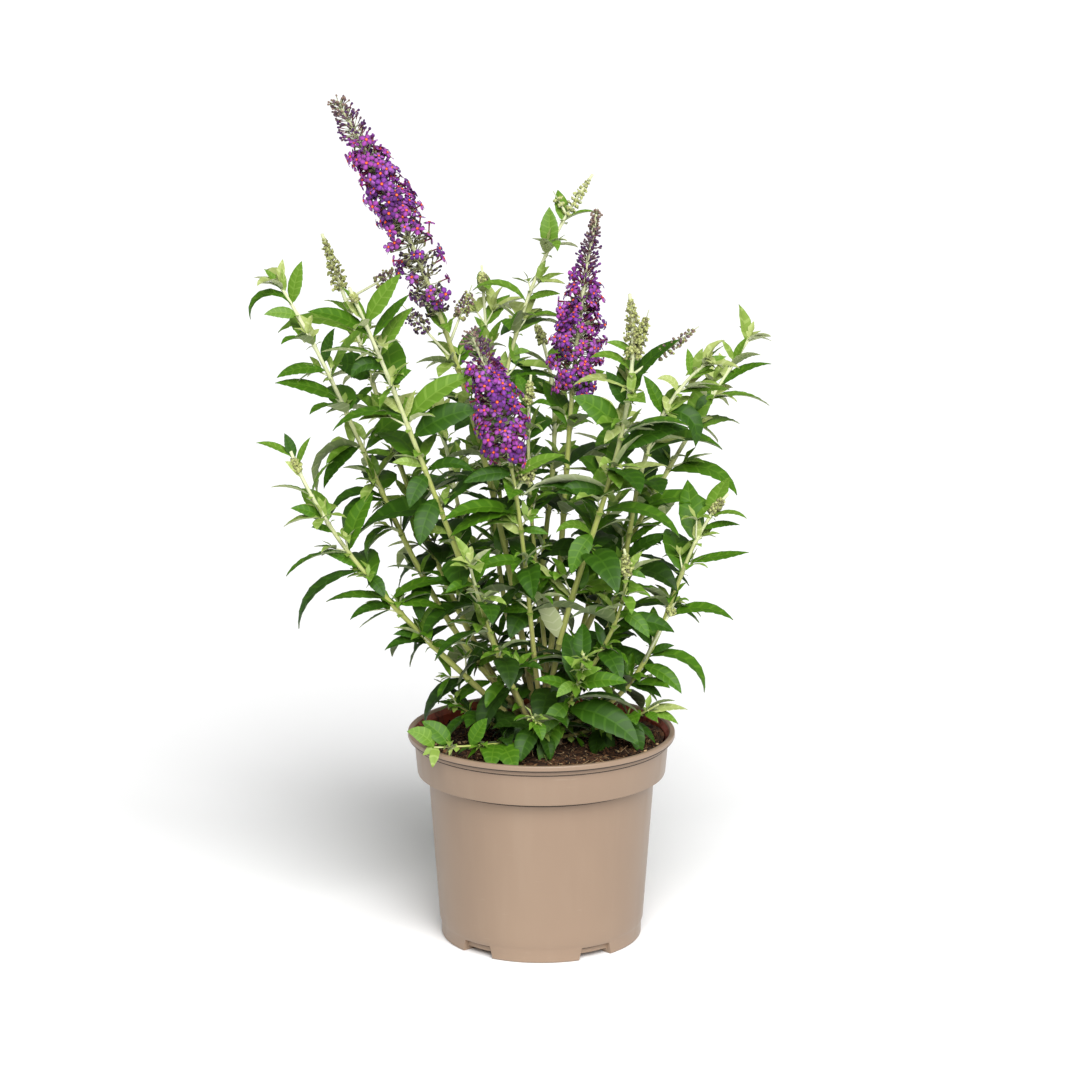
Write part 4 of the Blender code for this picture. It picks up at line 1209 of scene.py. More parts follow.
@dataclass
class Course:
    """The course of a cane through space, read by distance from its foot in metres.

    gap is what stays open between cane and stump, top_ring how far from the middle a cane stands on
    the stump's top, and first_joint the least distance of a joint from the foot.
    """

    cane: Cane
    stump: Stump
    steps: int = 48
    gap: float = 0.3 * MM
    top_ring: float = 6.8 * MM
    foot_radius: float = 2.7 * MM
    tip_radius: float = 1.1 * MM
    first_joint: float = 7.0 * MM

    def __post_init__(self) -> None:
        """Work out the cane's directions from its leans, and its points by adding them up."""
        cane = self.cane
        t = (np.arange(self.steps) + 0.5) / self.steps
        foot, middle, tip = np.radians(cane.lean_x)
        near, far = np.radians(cane.lean_y)
        lean_x = foot * (1 - t) * (1 - 2 * t) + middle * 4 * t * (1 - t) + tip * t * (2 * t - 1)
        lean_y = near + (far - near) * t
        self.ways = unit(np.stack([np.tan(lean_x), np.tan(lean_y), np.ones(self.steps)], axis=1))
        self.length = cane.length * MM
        self.marks = np.linspace(0, self.length, self.steps + 1)
        self.centres = (self.marks[1:] + self.marks[:-1]) / 2
        moves = np.cumsum(self.ways * (self.length / self.steps), axis=0)
        self.points = self.foot() + np.concatenate([np.zeros((1, 3)), moves])

    def foot(self) -> Array:
        """Where the cane starts: beside the stump, or on its top when its rise is above the stump.

        Returns:
            The middle of the cane's foot.
        """
        bearing, rise = math.radians(self.cane.bearing), self.cane.rise * MM
        out = np.array([math.cos(bearing), math.sin(bearing), 0.0])
        radius = self.foot_radius * self.cane.girth
        upright = self.ways[0][2]
        lift = radius * math.sqrt(1 - upright ** 2) + self.gap
        level = self.stump.soil - self.gap
        if rise > self.stump.height:
            return out * self.top_ring + np.array([0, 0, level + self.gap + self.stump.height + lift])
        away = float(self.stump.radius(rise)) + self.gap * 1.5 + radius * upright
        return out * away + np.array([0, 0, level + rise + lift])

    def point(self, distance: Array | float) -> Array:
        """Points at distances along the cane."""
        return between(distance, self.marks, self.points)

    def way(self, distance: Array | float) -> Array:
        """Unit directions at distances along the cane."""
        return unit(between(distance, self.centres, self.ways))

    def radius(self, distance: Array | float) -> Array:
        """The cane's radius at distances, tapering evenly to its tip."""
        share = np.asarray(distance) / self.length
        return self.cane.girth * (self.foot_radius + (self.tip_radius - self.foot_radius) * share)

    def sideways(self, distance: float, turn: float) -> Array:
        """A direction square to the cane.

        Args:
            distance: how far along the cane.
            turn: degrees about the cane: 0 right, 90 back.

        Returns:
            The unit direction.
        """
        way = self.way(distance)
        back = unit(np.array([0, 1.0, 0]) - way[1] * way)
        angle = math.radians(turn)
        return np.cross(back, way) * math.cos(angle) + back * math.sin(angle)

    def pair_marks(self) -> list[float]:
        """Where the leaf pairs grow, closer together towards the tip.

        Returns:
            Distances from the cane's foot.
        """
        cane = self.cane
        start = at = cane.bare * MM + self.first_joint
        end = cane.length * MM - cane.spike * MM - 1.5 * MM
        marks = []
        while at < end:
            marks.append(at)
            at += cane.gap * MM * (1.0 - 0.45 * (at - start) / max(end - start, 1e-6))
        return marks

    def scar_marks(self) -> list[float]:
        """Where the joints of the bare part are, whose leaves have mostly fallen.

        Returns:
            Distances from the cane's foot.
        """
        first = self.cane.bare * MM + self.first_joint
        below = first - self.cane.gap * MM * np.arange(1, 9)
        return sorted(float(mark) for mark in below if mark > self.first_joint)

    def skin(self, sides: int = 12) -> Patch:
        """The cane's own tube: slimmer towards its foot than its solid, swollen and ringed at each joint.

        Args:
            sides: corners of a ring.

        Returns:
            The tube, whose age runs from its foot to its tip.
        """
        joints = np.array(self.scar_marks() + self.pair_marks())
        end = self.length - self.cane.spike * MM * 0.04
        rings = joints[:, None] + np.array([-4.5, -2.2, -0.9, -0.3, 0.3, 0.9, 2.6]) * MM
        marks = np.concatenate([np.arange(0, end, 3.5 * MM), rings.ravel(), [end]])
        marks = np.unique(np.clip(marks, 0, end))
        marks = marks[np.concatenate([[True], np.diff(marks) > 0.12 * MM])]
        near = np.abs(marks[:, None] - joints).min(axis=1) if len(joints) else np.full(len(marks), 1.0)
        swell = 1 + 0.2 * np.exp(-((near / (2.4 * MM)) ** 2)) + 0.16 * np.exp(-((near / (0.45 * MM)) ** 2))
        ridges = 1 + 0.05 * np.cos(4 * around(sides))
        path = self.point(marks)
        wander = ripple(path, 16 * MM, 31)[:, None] * 0.04 + 1
        slim = 0.8 + 0.2 * marks / self.length
        radii = (self.radius(marks) * slim * swell)[:, None] * ridges * wander
        age = np.clip(marks / self.length, 0, 1) * (0.55 + 0.45 * min(1.0, self.length / 0.3))
        return tubes(path[None], radii[None], sides, 0, age[None])


# --- leaves ---


@dataclass
class Leaf:
    """One leaf: where it is rooted and how it is held. Lengths in metres, angles in degrees."""

    root: Array
    way: Array
    length: float
    droop: float
    roll: float = 0.0
    tint: LeafTint = LeafTint.MID
    aspect: float = 0.3
    fold: float = 0.3
    bend: float = 0.0
    twist: float = 0.0


@dataclass(frozen=True)
class BladeShape:
    """How finely a leaf is made, and its outline: t^rise (1-t)^fall along the blade, past its stalk."""

    veins: int
    lanes: tuple = (-1.0, -0.52, -0.06, 0.06, 0.52, 1.0)
    vein_width: float = 0.2
    slant: float = 0.1
    stalk: float = 0.06
    stalk_width: float = 0.09
    rise: float = 0.68
    fall: float = 0.98
    relief: float = 0.009
    thickness: float = 0.007
    bulge: float = 0.1
    curl: float = 0.16
    tooth: float = 0.025

    def rows(self) -> Array:
        """Where rows of points cross the blade: two beside each vein, and one at each end.

        Returns:
            Shares of the length.
        """
        middles = (np.arange(self.veins) + 0.5) / self.veins
        half = self.vein_width / 2 / self.veins
        return np.sort(np.concatenate([[0.0, 1.0], middles - half, middles + half]))

    def half_width(self, share: Array) -> Array:
        """The outline: half width along the blade.

        Args:
            share: shares of the length.

        Returns:
            Half widths, as parts of the greatest.
        """
        t = np.clip((share - self.stalk) / (1 - self.stalk), 0, 1)
        peak = self.rise / (self.rise + self.fall)
        highest = peak ** self.rise * (1 - peak) ** self.fall
        blade = t ** self.rise * (1 - t) ** self.fall / highest
        return np.maximum(blade, self.stalk_width * (1 - 0.85 * share))


MAIN_BLADE = BladeShape(veins=7)
MIDDLE_BLADE = BladeShape(veins=3, lanes=(-1.0, -0.5, 0.0, 0.5, 1.0), vein_width=0.24, stalk_width=0.12)
SMALL_BLADE = BladeShape(veins=2, lanes=(-1.0, 0.0, 1.0), vein_width=0.9, slant=0.04, stalk_width=0.12,
                         relief=0.0, tooth=0.0, rise=0.6, fall=0.8)


def blades(leaves: Sequence[Leaf], shape: BladeShape) -> Patch:
    """Many leaves at once, each a thin closed blade.

    The midrib climbs at the leaf's own climb less 1.15 droop share^1.1. A row of points crosses it at
    each share, slanted forwards towards the edge as the veins are. The blade is folded up along its
    midrib, bulges between midrib and edge, curls down at its edge and steps at each vein.

    Args:
        leaves: the leaves, at least one.
        shape: how finely they are made.

    Returns:
        The blades as one patch. Slots are each tint's panel, vein, underside and rib.
    """
    share, lane = shape.rows(), np.array(shape.lanes)
    rows, columns = len(share), len(lane)

    def each(name: str) -> Array:
        """One number from every leaf, as a column."""
        return np.array([getattr(leaf, name) for leaf in leaves], float)[:, None]

    ways = np.array([leaf.way for leaf in leaves])
    heading = np.arctan2(ways[:, 1], ways[:, 0])[:, None] + np.radians(each("bend")) * share ** 1.3
    climb = np.arcsin(np.clip(ways[:, 2], -1, 1))[:, None] - np.radians(each("droop")) * 1.15 * share ** 1.1
    climb = np.maximum(climb, -1.62)
    along = polar(heading, climb)
    level = np.stack([-np.sin(heading), np.cos(heading), np.zeros_like(heading)], axis=-1)
    roll = (np.radians(each("roll")) + np.radians(each("twist")) * share)[..., None]
    lifted = np.cross(along, level)
    across = level * np.cos(roll) + lifted * np.sin(roll)
    up = np.cross(along, across)
    length = each("length")
    steps = (along[:, 1:] + along[:, :-1]) / 2 * (np.diff(share) * length)[..., None]
    roots = np.array([leaf.root for leaf in leaves])
    moves = np.concatenate([np.zeros((len(leaves), 1, 3)), np.cumsum(steps, axis=1)], axis=1)
    spine = roots[:, None] + moves

    out = np.abs(lane)
    slide = shape.slant * out * np.sin(math.pi * share)[:, None]
    seen = np.clip(share[:, None] + slide, 0, 1)
    teeth = 1 + shape.tooth * np.where(np.arange(rows) % 2 == 0, 1, -1)[:, None] * (out > 0.9)
    greatest = (length * each("aspect") / 2)[:, :, None]
    half = greatest * shape.half_width(seen) * teeth
    step = np.where(np.arange(rows) % 2 == 1, 1.0, -1.0)
    step[[0, -1]] = 0
    veined = step[:, None] * (out * (1.25 - out)) * np.sin(math.pi * share)[:, None] * 2
    fold = each("fold")[:, :, None]
    form = fold * out + shape.bulge * 4 * out * (1 - out) - shape.curl * out ** 3 * (1 - 0.4 * share[:, None])
    rise = half * form + length[:, :, None] * shape.relief * veined
    top = (spine[:, :, None] + along[:, :, None] * (length[:, :, None, None] * slide[..., None])
           + across[:, :, None] * (half * lane)[..., None] + up[:, :, None] * rise[..., None])
    keel = spine - up * (length * shape.thickness + 0.12 * MM)[..., None]
    points = np.concatenate([top.reshape(len(leaves), -1, 3), keel], axis=1)
    return Patch(points.reshape(-1, 3), *blade_faces(leaves, rows, columns))


def blade_faces(leaves: Sequence[Leaf], rows: int, columns: int) -> tuple[Array, Array, Array]:
    """Faces, slots and crease marks of many blades laid out alike.

    Args:
        leaves: the leaves, for their tints.
        rows: points along a blade.
        columns: points across it.

    Returns:
        Faces, the slot of each face, and whether each point lies on a blade's edge.
    """
    row, column = grid(rows - 1, columns - 1)
    near = row * columns + column
    top = np.stack([near, near + columns, near + columns + 1, near + 1], axis=-1).reshape(-1, 4)
    midrib = (columns > 5) & (column == columns // 2 - 1)
    vein = (row % 2 == 1) & (columns > 3)
    top_slots = (midrib | vein).astype(int).ravel()
    keel, last, end = rows * columns, columns - 1, (rows - 1) * columns
    r, c = row[:, 0], column[0]
    first = r * columns
    left = np.stack([first, keel + r, keel + r + 1, first + columns], axis=-1)
    right = np.stack([keel + r, first + last, first + columns + last, keel + r + 1], axis=-1)
    foot, tip = fan(c, c + 1, keel), fan(end + c + 1, end + c, keel + rows - 1)
    faces = np.concatenate([top, left, right, foot, tip])
    under_slots = 2 + (r % 2 if columns > 3 else 0 * r)
    slots = np.concatenate([top_slots, under_slots, under_slots, np.full(2 * last, 2)])
    edge = np.zeros(rows * columns + rows, bool)
    edge[:keel].reshape(rows, columns)[:, [0, -1]] = True
    count, size = len(leaves), len(edge)
    starts = np.array([leaf.tint.start for leaf in leaves])
    all_faces = (faces + np.arange(count)[:, None, None] * size).reshape(-1, 4)
    return all_faces, (slots + starts[:, None]).ravel(), np.tile(edge, count)


def inside(leaves: Sequence[Leaf], shape: BladeShape) -> list[Leaf]:
    """The same leaves, shortened wherever a blade would come close to leaving the box of the solids.

    Args:
        leaves: the leaves.
        shape: how they are made.

    Returns:
        The leaves, as many and in the same order.
    """
    roots = np.array([leaf.root for leaf in leaves])[:, None]
    reach = blades(leaves, shape).points.reshape(len(leaves), -1, 3) - roots
    low, high = (np.array(corner, float) for corner in CAD_BOX)
    room = np.where(reach > 0, high - BOX_MARGIN - roots, low + BOX_MARGIN - roots)
    away = np.abs(reach) > 1e-6
    share = np.where(away, room / np.where(away, reach, 1.0), 1.0)
    share = np.clip(share.min(axis=(1, 2)), 0.3, 1.0)
    return [replace(leaf, length=leaf.length * part) for leaf, part in zip(leaves, share)]


def bent(way: Array, turn: float, lift: float) -> Array:
    """A direction turned about Z and lifted, both in degrees."""
    heading = math.atan2(way[1], way[0]) + math.radians(turn)
    return polar(heading, max(-1.3, min(1.5, climb_of(way) + math.radians(lift))))


def facing_light(way: Array, droop: float) -> tuple[Array, float]:
    """Hold a leaf so that its upper side is turned to the front, where its light comes from.

    One that stands upright at the front changes over to the back of its stem, and a slanting one
    bends further down.

    Args:
        way: the direction in which it leaves its stem.
        droop: how far it bends down, in degrees.

    Returns:
        The way and the droop that it takes.
    """
    middle = math.degrees(climb_of(way)) - 0.54 * droop
    front = -way[1] / max(math.hypot(way[0], way[1]), 1e-6)
    if front < 0.3 or middle < 12:
        return way, droop
    if middle > 48:
        return way * np.array([1, -1, 1]), droop
    return way, droop + min(front * (middle - 8) / 0.54, 55)


@dataclass
class Foliage:
    """The leaves of one cane, grown by the rule of its solids and carried on to finer shoots.

    The rule tries a leaf up to so many times, each time shorter, and a leaf's solid stands where its
    tip has a corner of the mass as near as same_tip. High up at the front a leaf turns down and is
    shortened. The chances are those of a shoot, a tuft, a joint that isn't bare, and a hanging leaf.
    """

    course: Course
    number: int
    tries: int = 7
    shrink: float = 0.07
    same_tip: float = 0.2 * MM
    shoot_chance: float = 0.12
    tuft_chance: float = 0.86
    scar_chance: float = 0.8
    hanging_chance: float = 0.62
    sunk: float = 0.4 * MM
    set_reach: float = 10 * MM
    least_main: float = 20
    least_middle: float = 15 * MM
    turn_down: float = 16
    shorten: float = 0.25
    leaves: list = field(default_factory=list)
    small: list = field(default_factory=list)
    twigs: list = field(default_factory=list)

    @property
    def node(self) -> str:
        """The name of the solid that these leaves stand for."""
        return self.course.cane.name + "_foliage"

    def dice(self, *place: int) -> Dice:
        """The dice for one place on this cane."""
        return np.random.default_rng((self.number, *place))

    def root(self, mark: float, way: Array) -> Array:
        """Where a leaf is rooted, a little way into the cane."""
        return self.course.point(mark) - way * self.sunk

    def outwards(self, mark: float, index: int, turn: float) -> Array:
        """The direction out of the cane at a joint, at a turn from the joint's own."""
        return self.course.sideways(mark, self.course.cane.turn + 90 * index + turn)

    def corners(self) -> Array:
        """The corners of the mass's solid.

        Returns:
            (n, 3) points.
        """
        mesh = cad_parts[self.node].data
        flat = np.empty(len(mesh.vertices) * 3, np.float32)
        mesh.vertices.foreach_get("co", flat)
        return flat.reshape(-1, 3).astype(float)

    def grow(self) -> None:
        """Grow every leaf pair, the shoots in their axils, and the tip."""
        cane, course = self.course.cane, self.course
        corners = self.corners()
        self.grow_set()
        marks = course.pair_marks()
        for index, mark in enumerate(marks):
            share = index / max(len(marks) - 1, 1)
            self.grow_collar(mark, index)
            for side in (0, 1):
                self.grow_one(corners, mark, index, side, share)
        for index, mark in enumerate(course.scar_marks()):
            for side in (0, 1):
                self.grow_scar(mark, index, side)
        if cane.bare and not cane.spike:
            self.grow_tip()

    def grow_set(self) -> None:
        """Grow the leaves that are held in a set place."""
        for index, row in enumerate(SET_LEAVES.get(self.course.cane.name, ())):
            mark, heading, climb, length, droop, roll, width, letter = row
            extra = self.dice(4, index)
            way = polar(np.radians(heading), np.radians(climb))
            leaf = Leaf(self.root(mark * MM, way), way, length * MM, droop, roll, TINT_LETTERS[letter],
                        width / 100, extra.uniform(0.08, 0.3), extra.uniform(-6, 6), extra.uniform(-10, 10))
            (self.leaves if length >= self.least_main else self.small).append(leaf)

    def taken(self, mark: float, out: Array) -> bool:
        """Whether a set leaf grows beside a place, on about the same side.

        Args:
            mark: distance along the cane.
            out: the direction out of the cane.

        Returns:
            Whether one does.
        """
        for place, heading, *_ in SET_LEAVES.get(self.course.cane.name, ()):
            side = math.cos(math.radians(heading)) * out[0] + math.sin(math.radians(heading)) * out[1]
            if abs(place * MM - mark) < self.set_reach and side > 0.3:
                return True
        return False

    def freshness(self, point: Array, share: float, dice: Dice) -> float:
        """How young a leaf looks, with painted light: by its share of the way up, and by its height and how
        far out it stands, which give leaves high and outside paler tints as if lit and leaves low and inside
        darker ones as if shaded.

        Args:
            point: where it stands.
            share: how far up the cane it is.
            dice: its own dice.

        Returns:
            About 0 for the oldest and most shaded, and 1 for the youngest and most lit.
        """
        # painted light: higher and further out makes a leaf paler, as if lit
        height = np.clip((point[2] - 0.16) / 0.3, 0, 1)
        out = np.clip(math.hypot(point[0], point[1]) / 0.14, 0, 1)
        return float(0.1 + 0.24 * share ** 2 + 0.2 * height + 0.14 * out + dice.normal(0, 0.08))

    def grow_one(self, corners: Array, mark: float, index: int, side: int, share: float) -> None:
        """Grow one leaf and the shoot or tuft in its axil.

        The leaf stands where its solid does, or hangs and is smaller where the solid was left out.

        Args:
            corners: the corners of the mass's solid, among which the leaf's tip is looked up.
            mark: distance along the cane.
            index: number of the pair.
            side: which leaf of the pair.
            share: how far up the leafy part the pair is.
        """
        cane, course = self.course.cane, self.course
        dice, extra = self.dice(index, side), self.dice(index, side, 1)
        out = self.outwards(mark, index, 180 * side + dice.uniform(-16, 16))
        spread = math.radians(62 - 30 * share + dice.uniform(-8, 8))
        way = unit(course.way(mark) * math.cos(spread) + out * math.sin(spread))
        root = self.root(mark, way)
        length = cane.leaf * MM * (0.84 + 0.66 * share - share ** 2) * dice.uniform(0.88, 1.12)
        droop = 78 - 58 * share + dice.uniform(-14, 14)
        roll = dice.uniform(-24, 24)
        taken = self.taken(mark, out)
        for attempt in range(0 if taken else self.tries):
            size = length * (1 - self.shrink * attempt)
            aim = bent(way, *(dice.uniform(-9, 9, 2) * attempt))
            away = np.linalg.norm(corners - self.solid_tip(root, aim, size, droop), axis=1)
            if away.min() < self.same_tip:
                break
        else:
            aim = bent(way, extra.uniform(-14, 14), extra.uniform(-18, 4))
            size = length * extra.uniform(0.55, 0.8)
        lit = share * max(-aim[1], 0.0)
        aim, size = bent(aim, 0, -self.turn_down * lit), size * (1 - self.shorten * lit)
        droop += 12 * share - 12 * (1 - share) + self.turn_down * lit
        aim, droop = facing_light(aim, droop)
        wide = 0.45 if cane.bare == 0 else 0.41 - 0.03 * share
        # painted light: the tint is paler for leaves high and far out, as if lit, and darker low and inside,
        # as if shaded
        tint = LeafTint.at(self.freshness(root, share, extra))
        if not taken:
            self.leaves.append(Leaf(root, aim, size, droop, roll, tint, wide * extra.uniform(0.9, 1.12),
                                    extra.uniform(0.1, 0.45), extra.uniform(-16, 16), extra.uniform(-26, 26)))
        if not cane.bare:
            self.grow_tuft(mark, out, share, extra, 0.5)
        elif share < 0.92 and dice.random() <= self.shoot_chance:
            way = unit(course.way(mark) * 0.8 + out * 0.75)
            twig, size = (7 + 9 * dice.random()) * MM, (15 + 13 * dice.random()) * MM
            self.add_shoot(course.point(mark + 2.0 * MM), way, twig, size, share, extra, pairs=3)
        elif share < 0.92 and extra.random() < self.tuft_chance:
            self.grow_tuft(mark, out, share, extra, 1.0 + 0.9 * extra.random())

    @staticmethod
    def solid_tip(root: Array, way: Array, length: float, droop: float) -> Array:
        """Where the tip of a leaf's solid is: two straight parts, bent down by shares of the droop.

        Args:
            root: where the leaf is rooted.
            way: the direction in which it leaves its stem.
            length: its length.
            droop: how far it bends down, in degrees.

        Returns:
            The tip.
        """
        climb = math.degrees(climb_of(way))
        angles = np.radians(np.maximum([climb - 0.22 * droop, climb - 0.85 * droop], -88))
        first, second = polar(np.full(2, math.atan2(way[1], way[0])), angles)
        return root + first * length * 0.42 + second * length * 0.58

    def grow_tuft(self, mark: float, out: Array, share: float, extra: Dice, scale: float) -> None:
        """Grow a tuft of small felted leaves close in the axil.

        Args:
            mark: distance along the cane.
            out: the direction out of the cane.
            share: how far up the leafy part it is.
            extra: its own dice.
            scale: how large it is.
        """
        way = unit(self.course.way(mark) + out * extra.uniform(0.45, 0.9))
        twig = extra.uniform(3, 10) * MM * scale
        size = extra.uniform(12, 21) * MM * (1.12 - 0.3 * share) * max(scale, 0.8)
        self.add_shoot(self.course.point(mark + 1.4 * MM), way, twig, size, share, extra,
                       pairs=int(extra.integers(2, 4)))

    def add_shoot(self, root: Array, way: Array, twig: float, size: float, share: float,
                  extra: Dice, pairs: int) -> None:
        """A twig with pairs of leaves, each pair a quarter turned and smaller than the last.

        Args:
            root: the twig's foot.
            way: its direction.
            twig: its length.
            size: the length of its largest leaves.
            share: how far up the cane it is.
            extra: its own dice.
            pairs: how many pairs it carries.
        """
        end = root + way * twig
        self.twigs.append((root, end, 0.75 * MM, 0.5 * MM))
        axes = frames(way[None], np.array([extra.uniform(0, math.pi)]))[0]
        for pair in range(pairs):
            spread = math.radians(extra.uniform(34, 62) - 12 * pair)
            length = size * (1 - 0.3 * pair)
            for side in (-1, 1):
                out = axes[pair % 2] * side
                aim = unit(way * math.cos(spread) + out * math.sin(spread) + np.array([0, 0, 0.12]))
                # painted light: shoots high and far out get paler tints, as if lit
                fresh = self.freshness(root, share, extra) + 0.26 + 0.12 * pair
                long = length * extra.uniform(0.85, 1.15)
                aim, droop = facing_light(aim, extra.uniform(8, 50))
                self.small.append(Leaf(end - way * 0.6 * MM * (pairs - pair), aim, long, droop,
                                       extra.uniform(-25, 25), LeafTint.at(fresh), extra.uniform(0.33, 0.44),
                                       extra.uniform(0.2, 0.7), extra.uniform(-20, 20)))

    def grow_collar(self, mark: float, index: int) -> None:
        """Grow the two short lobes that join the feet of a leaf pair round the stem.

        Args:
            mark: distance along the cane.
            index: number of the pair.
        """
        extra = self.dice(5, index)
        for turn in (90, 270):
            out = self.outwards(mark, index, turn + extra.uniform(-10, 10))
            way = unit(self.course.way(mark) * 0.45 + out)
            root = self.course.point(mark) + out * self.course.radius(mark) * 0.5
            length = extra.uniform(4.4, 6.6) * MM
            self.small.append(Leaf(root, way, length, 45, 0, LeafTint.YOUNG, 0.85, 0.25))

    def grow_scar(self, mark: float, index: int, side: int) -> None:
        """Grow what is left at a joint of the bare part: a leaf that hangs, a tuft, or nothing.

        Args:
            mark: distance along the cane.
            index: number of the joint.
            side: 0 or 1.
        """
        extra = self.dice(index, side, 2)
        if extra.random() > self.scar_chance:
            return
        out = self.outwards(mark, index + 1, 180 * side + extra.uniform(-16, 16))
        if self.taken(mark, out):
            return
        if extra.random() < self.hanging_chance:
            way = unit(self.course.way(mark) * 0.35 + out)
            tint = LeafTint.at(0.08 + 0.22 * extra.random())
            length = self.course.cane.leaf * MM * extra.uniform(0.55, 0.95)
            self.leaves.append(Leaf(self.root(mark, way), way, length, extra.uniform(48, 92),
                                    extra.uniform(-22, 22), tint, extra.uniform(0.34, 0.43),
                                    extra.uniform(0.1, 0.5), extra.uniform(-18, 18), extra.uniform(-20, 20)))
        else:
            self.grow_tuft(mark, out, 0.1, extra, 0.8)

    def grow_tip(self) -> None:
        """Grow the rosette of young leaves that ends a cane without a spike."""
        extra, length = self.dice(3), self.course.length
        end, way = self.course.point(length), self.course.way(length)
        self.add_shoot(end - way * 3 * MM, way, 3 * MM, 27 * MM, 1.0, extra, pairs=3)
        self.add_shoot(end - way * 1 * MM, way, 4 * MM, 17 * MM, 1.2, extra, pairs=2)

    def build(self, finishes: Sequence[Material]) -> None:
        """Make the leaves as one piece that stands for the mass.

        Args:
            finishes: the leaves' materials.
        """
        parts = [blades(inside(self.leaves, MAIN_BLADE), MAIN_BLADE)]
        limit = self.least_middle
        for shape, low, high in ((MIDDLE_BLADE, limit, 1.0), (SMALL_BLADE, 0.0, limit)):
            mine = [leaf for leaf in self.small if low <= leaf.length < high]
            if mine:
                parts.append(blades(inside(mine, shape), shape))
        piece(self.course.cane.name + "_leaves", joined(parts), finishes, [self.node])


# --- blossom ---


def floret_shape(spread: float) -> Patch:
    """An open floret of unit size, facing up: four petals round an eye, on a slim tube with a small cup.

    A petal is a grid of share t along it and lane across it. It is narrow at its throat and widest near
    its end, its reach grows with t, and it rises from the throat and turns back by spread t^2.

    Args:
        spread: how far the petals turn back, 0 flat, 1 well back.

    Returns:
        The floret, about 1 from its middle to a petal's tip. Slots: 0 petal, then eye, eye rim, tube and
        cup as they stand in Bloom.
    """
    share = np.array([0.0, 0.35, 0.72, 1.0])
    lane = np.array([-1.0, 0.0, 1.0])
    half = 0.44 * np.array([0.36, 0.8, 1.0, 0.55])
    reach = 0.17 + 0.83 * share
    rise = 0.1 * np.sin(share * math.pi * 0.6) - spread * 0.35 * share ** 2
    x = reach[:, None] - 0.06 * np.abs(lane) * share[:, None] ** 2
    y = half[:, None] * lane
    z = rise[:, None] - 0.05 * np.abs(lane) * share[:, None]
    top = np.stack([np.broadcast_to(x, (4, 3)), y, z], axis=-1)
    under = np.stack([reach, np.zeros(4), rise - 0.06], axis=-1)
    points = np.concatenate([top.reshape(-1, 3), under])
    faces = blade_faces([Leaf(np.zeros(3), np.zeros(3), 1, 1)], 4, 3)[0]
    axes = frames(np.tile([0, 0, 1.0], (4, 1)), around(4) + math.pi / 2)
    petals = stamped(Patch(points, faces), np.zeros((4, 3)), axes, np.ones(4))
    eye = turned_bead((0.02, 0.13, 0.24, 0.2, 0.02), (0.09, 0.14, 0.11, -0.02, -0.03), 6, (1, 2, 2, 2))
    tube = turned_bead((0.02, 0.15, 0.13, 0.12, 0.02), (0.0, -0.02, -0.7, -1.75, -1.76), 5, (3, 3, 3, 3))
    cup = turned_bead((0.02, 0.2, 0.17, 0.02), (-1.35, -1.4, -2.0, -2.06), 5, (4, 4, 4))
    for bead in (eye, tube, cup):
        bead.faces = bead.faces[:, ::-1]
    order = [0, Bloom.EYE.number, Bloom.EYE_RIM.number, Bloom.TUBE.number, Bloom.OLIVE.number]
    made = joined([petals, eye, tube, cup])
    made.slots = np.array(order)[made.slots]
    return made


BUD_COLOURS = {
    SpikeKind.GREEN: (Bloom.GREEN_BUD, Bloom.PALE_BUD, Bloom.OLIVE, Bloom.GREEN_BUD),
    SpikeKind.LOOSE: (Bloom.GREEN_BUD, Bloom.PALE_BUD, Bloom.RACHIS, Bloom.PALE_BUD),
    SpikeKind.BROWN: (Bloom.BROWN_BUD, Bloom.OLIVE, Bloom.DUSKY, Bloom.GREEN_BUD),
    SpikeKind.DARK: (Bloom.WITHERED, Bloom.DUSKY, Bloom.CLOSED, Bloom.OLIVE),
}


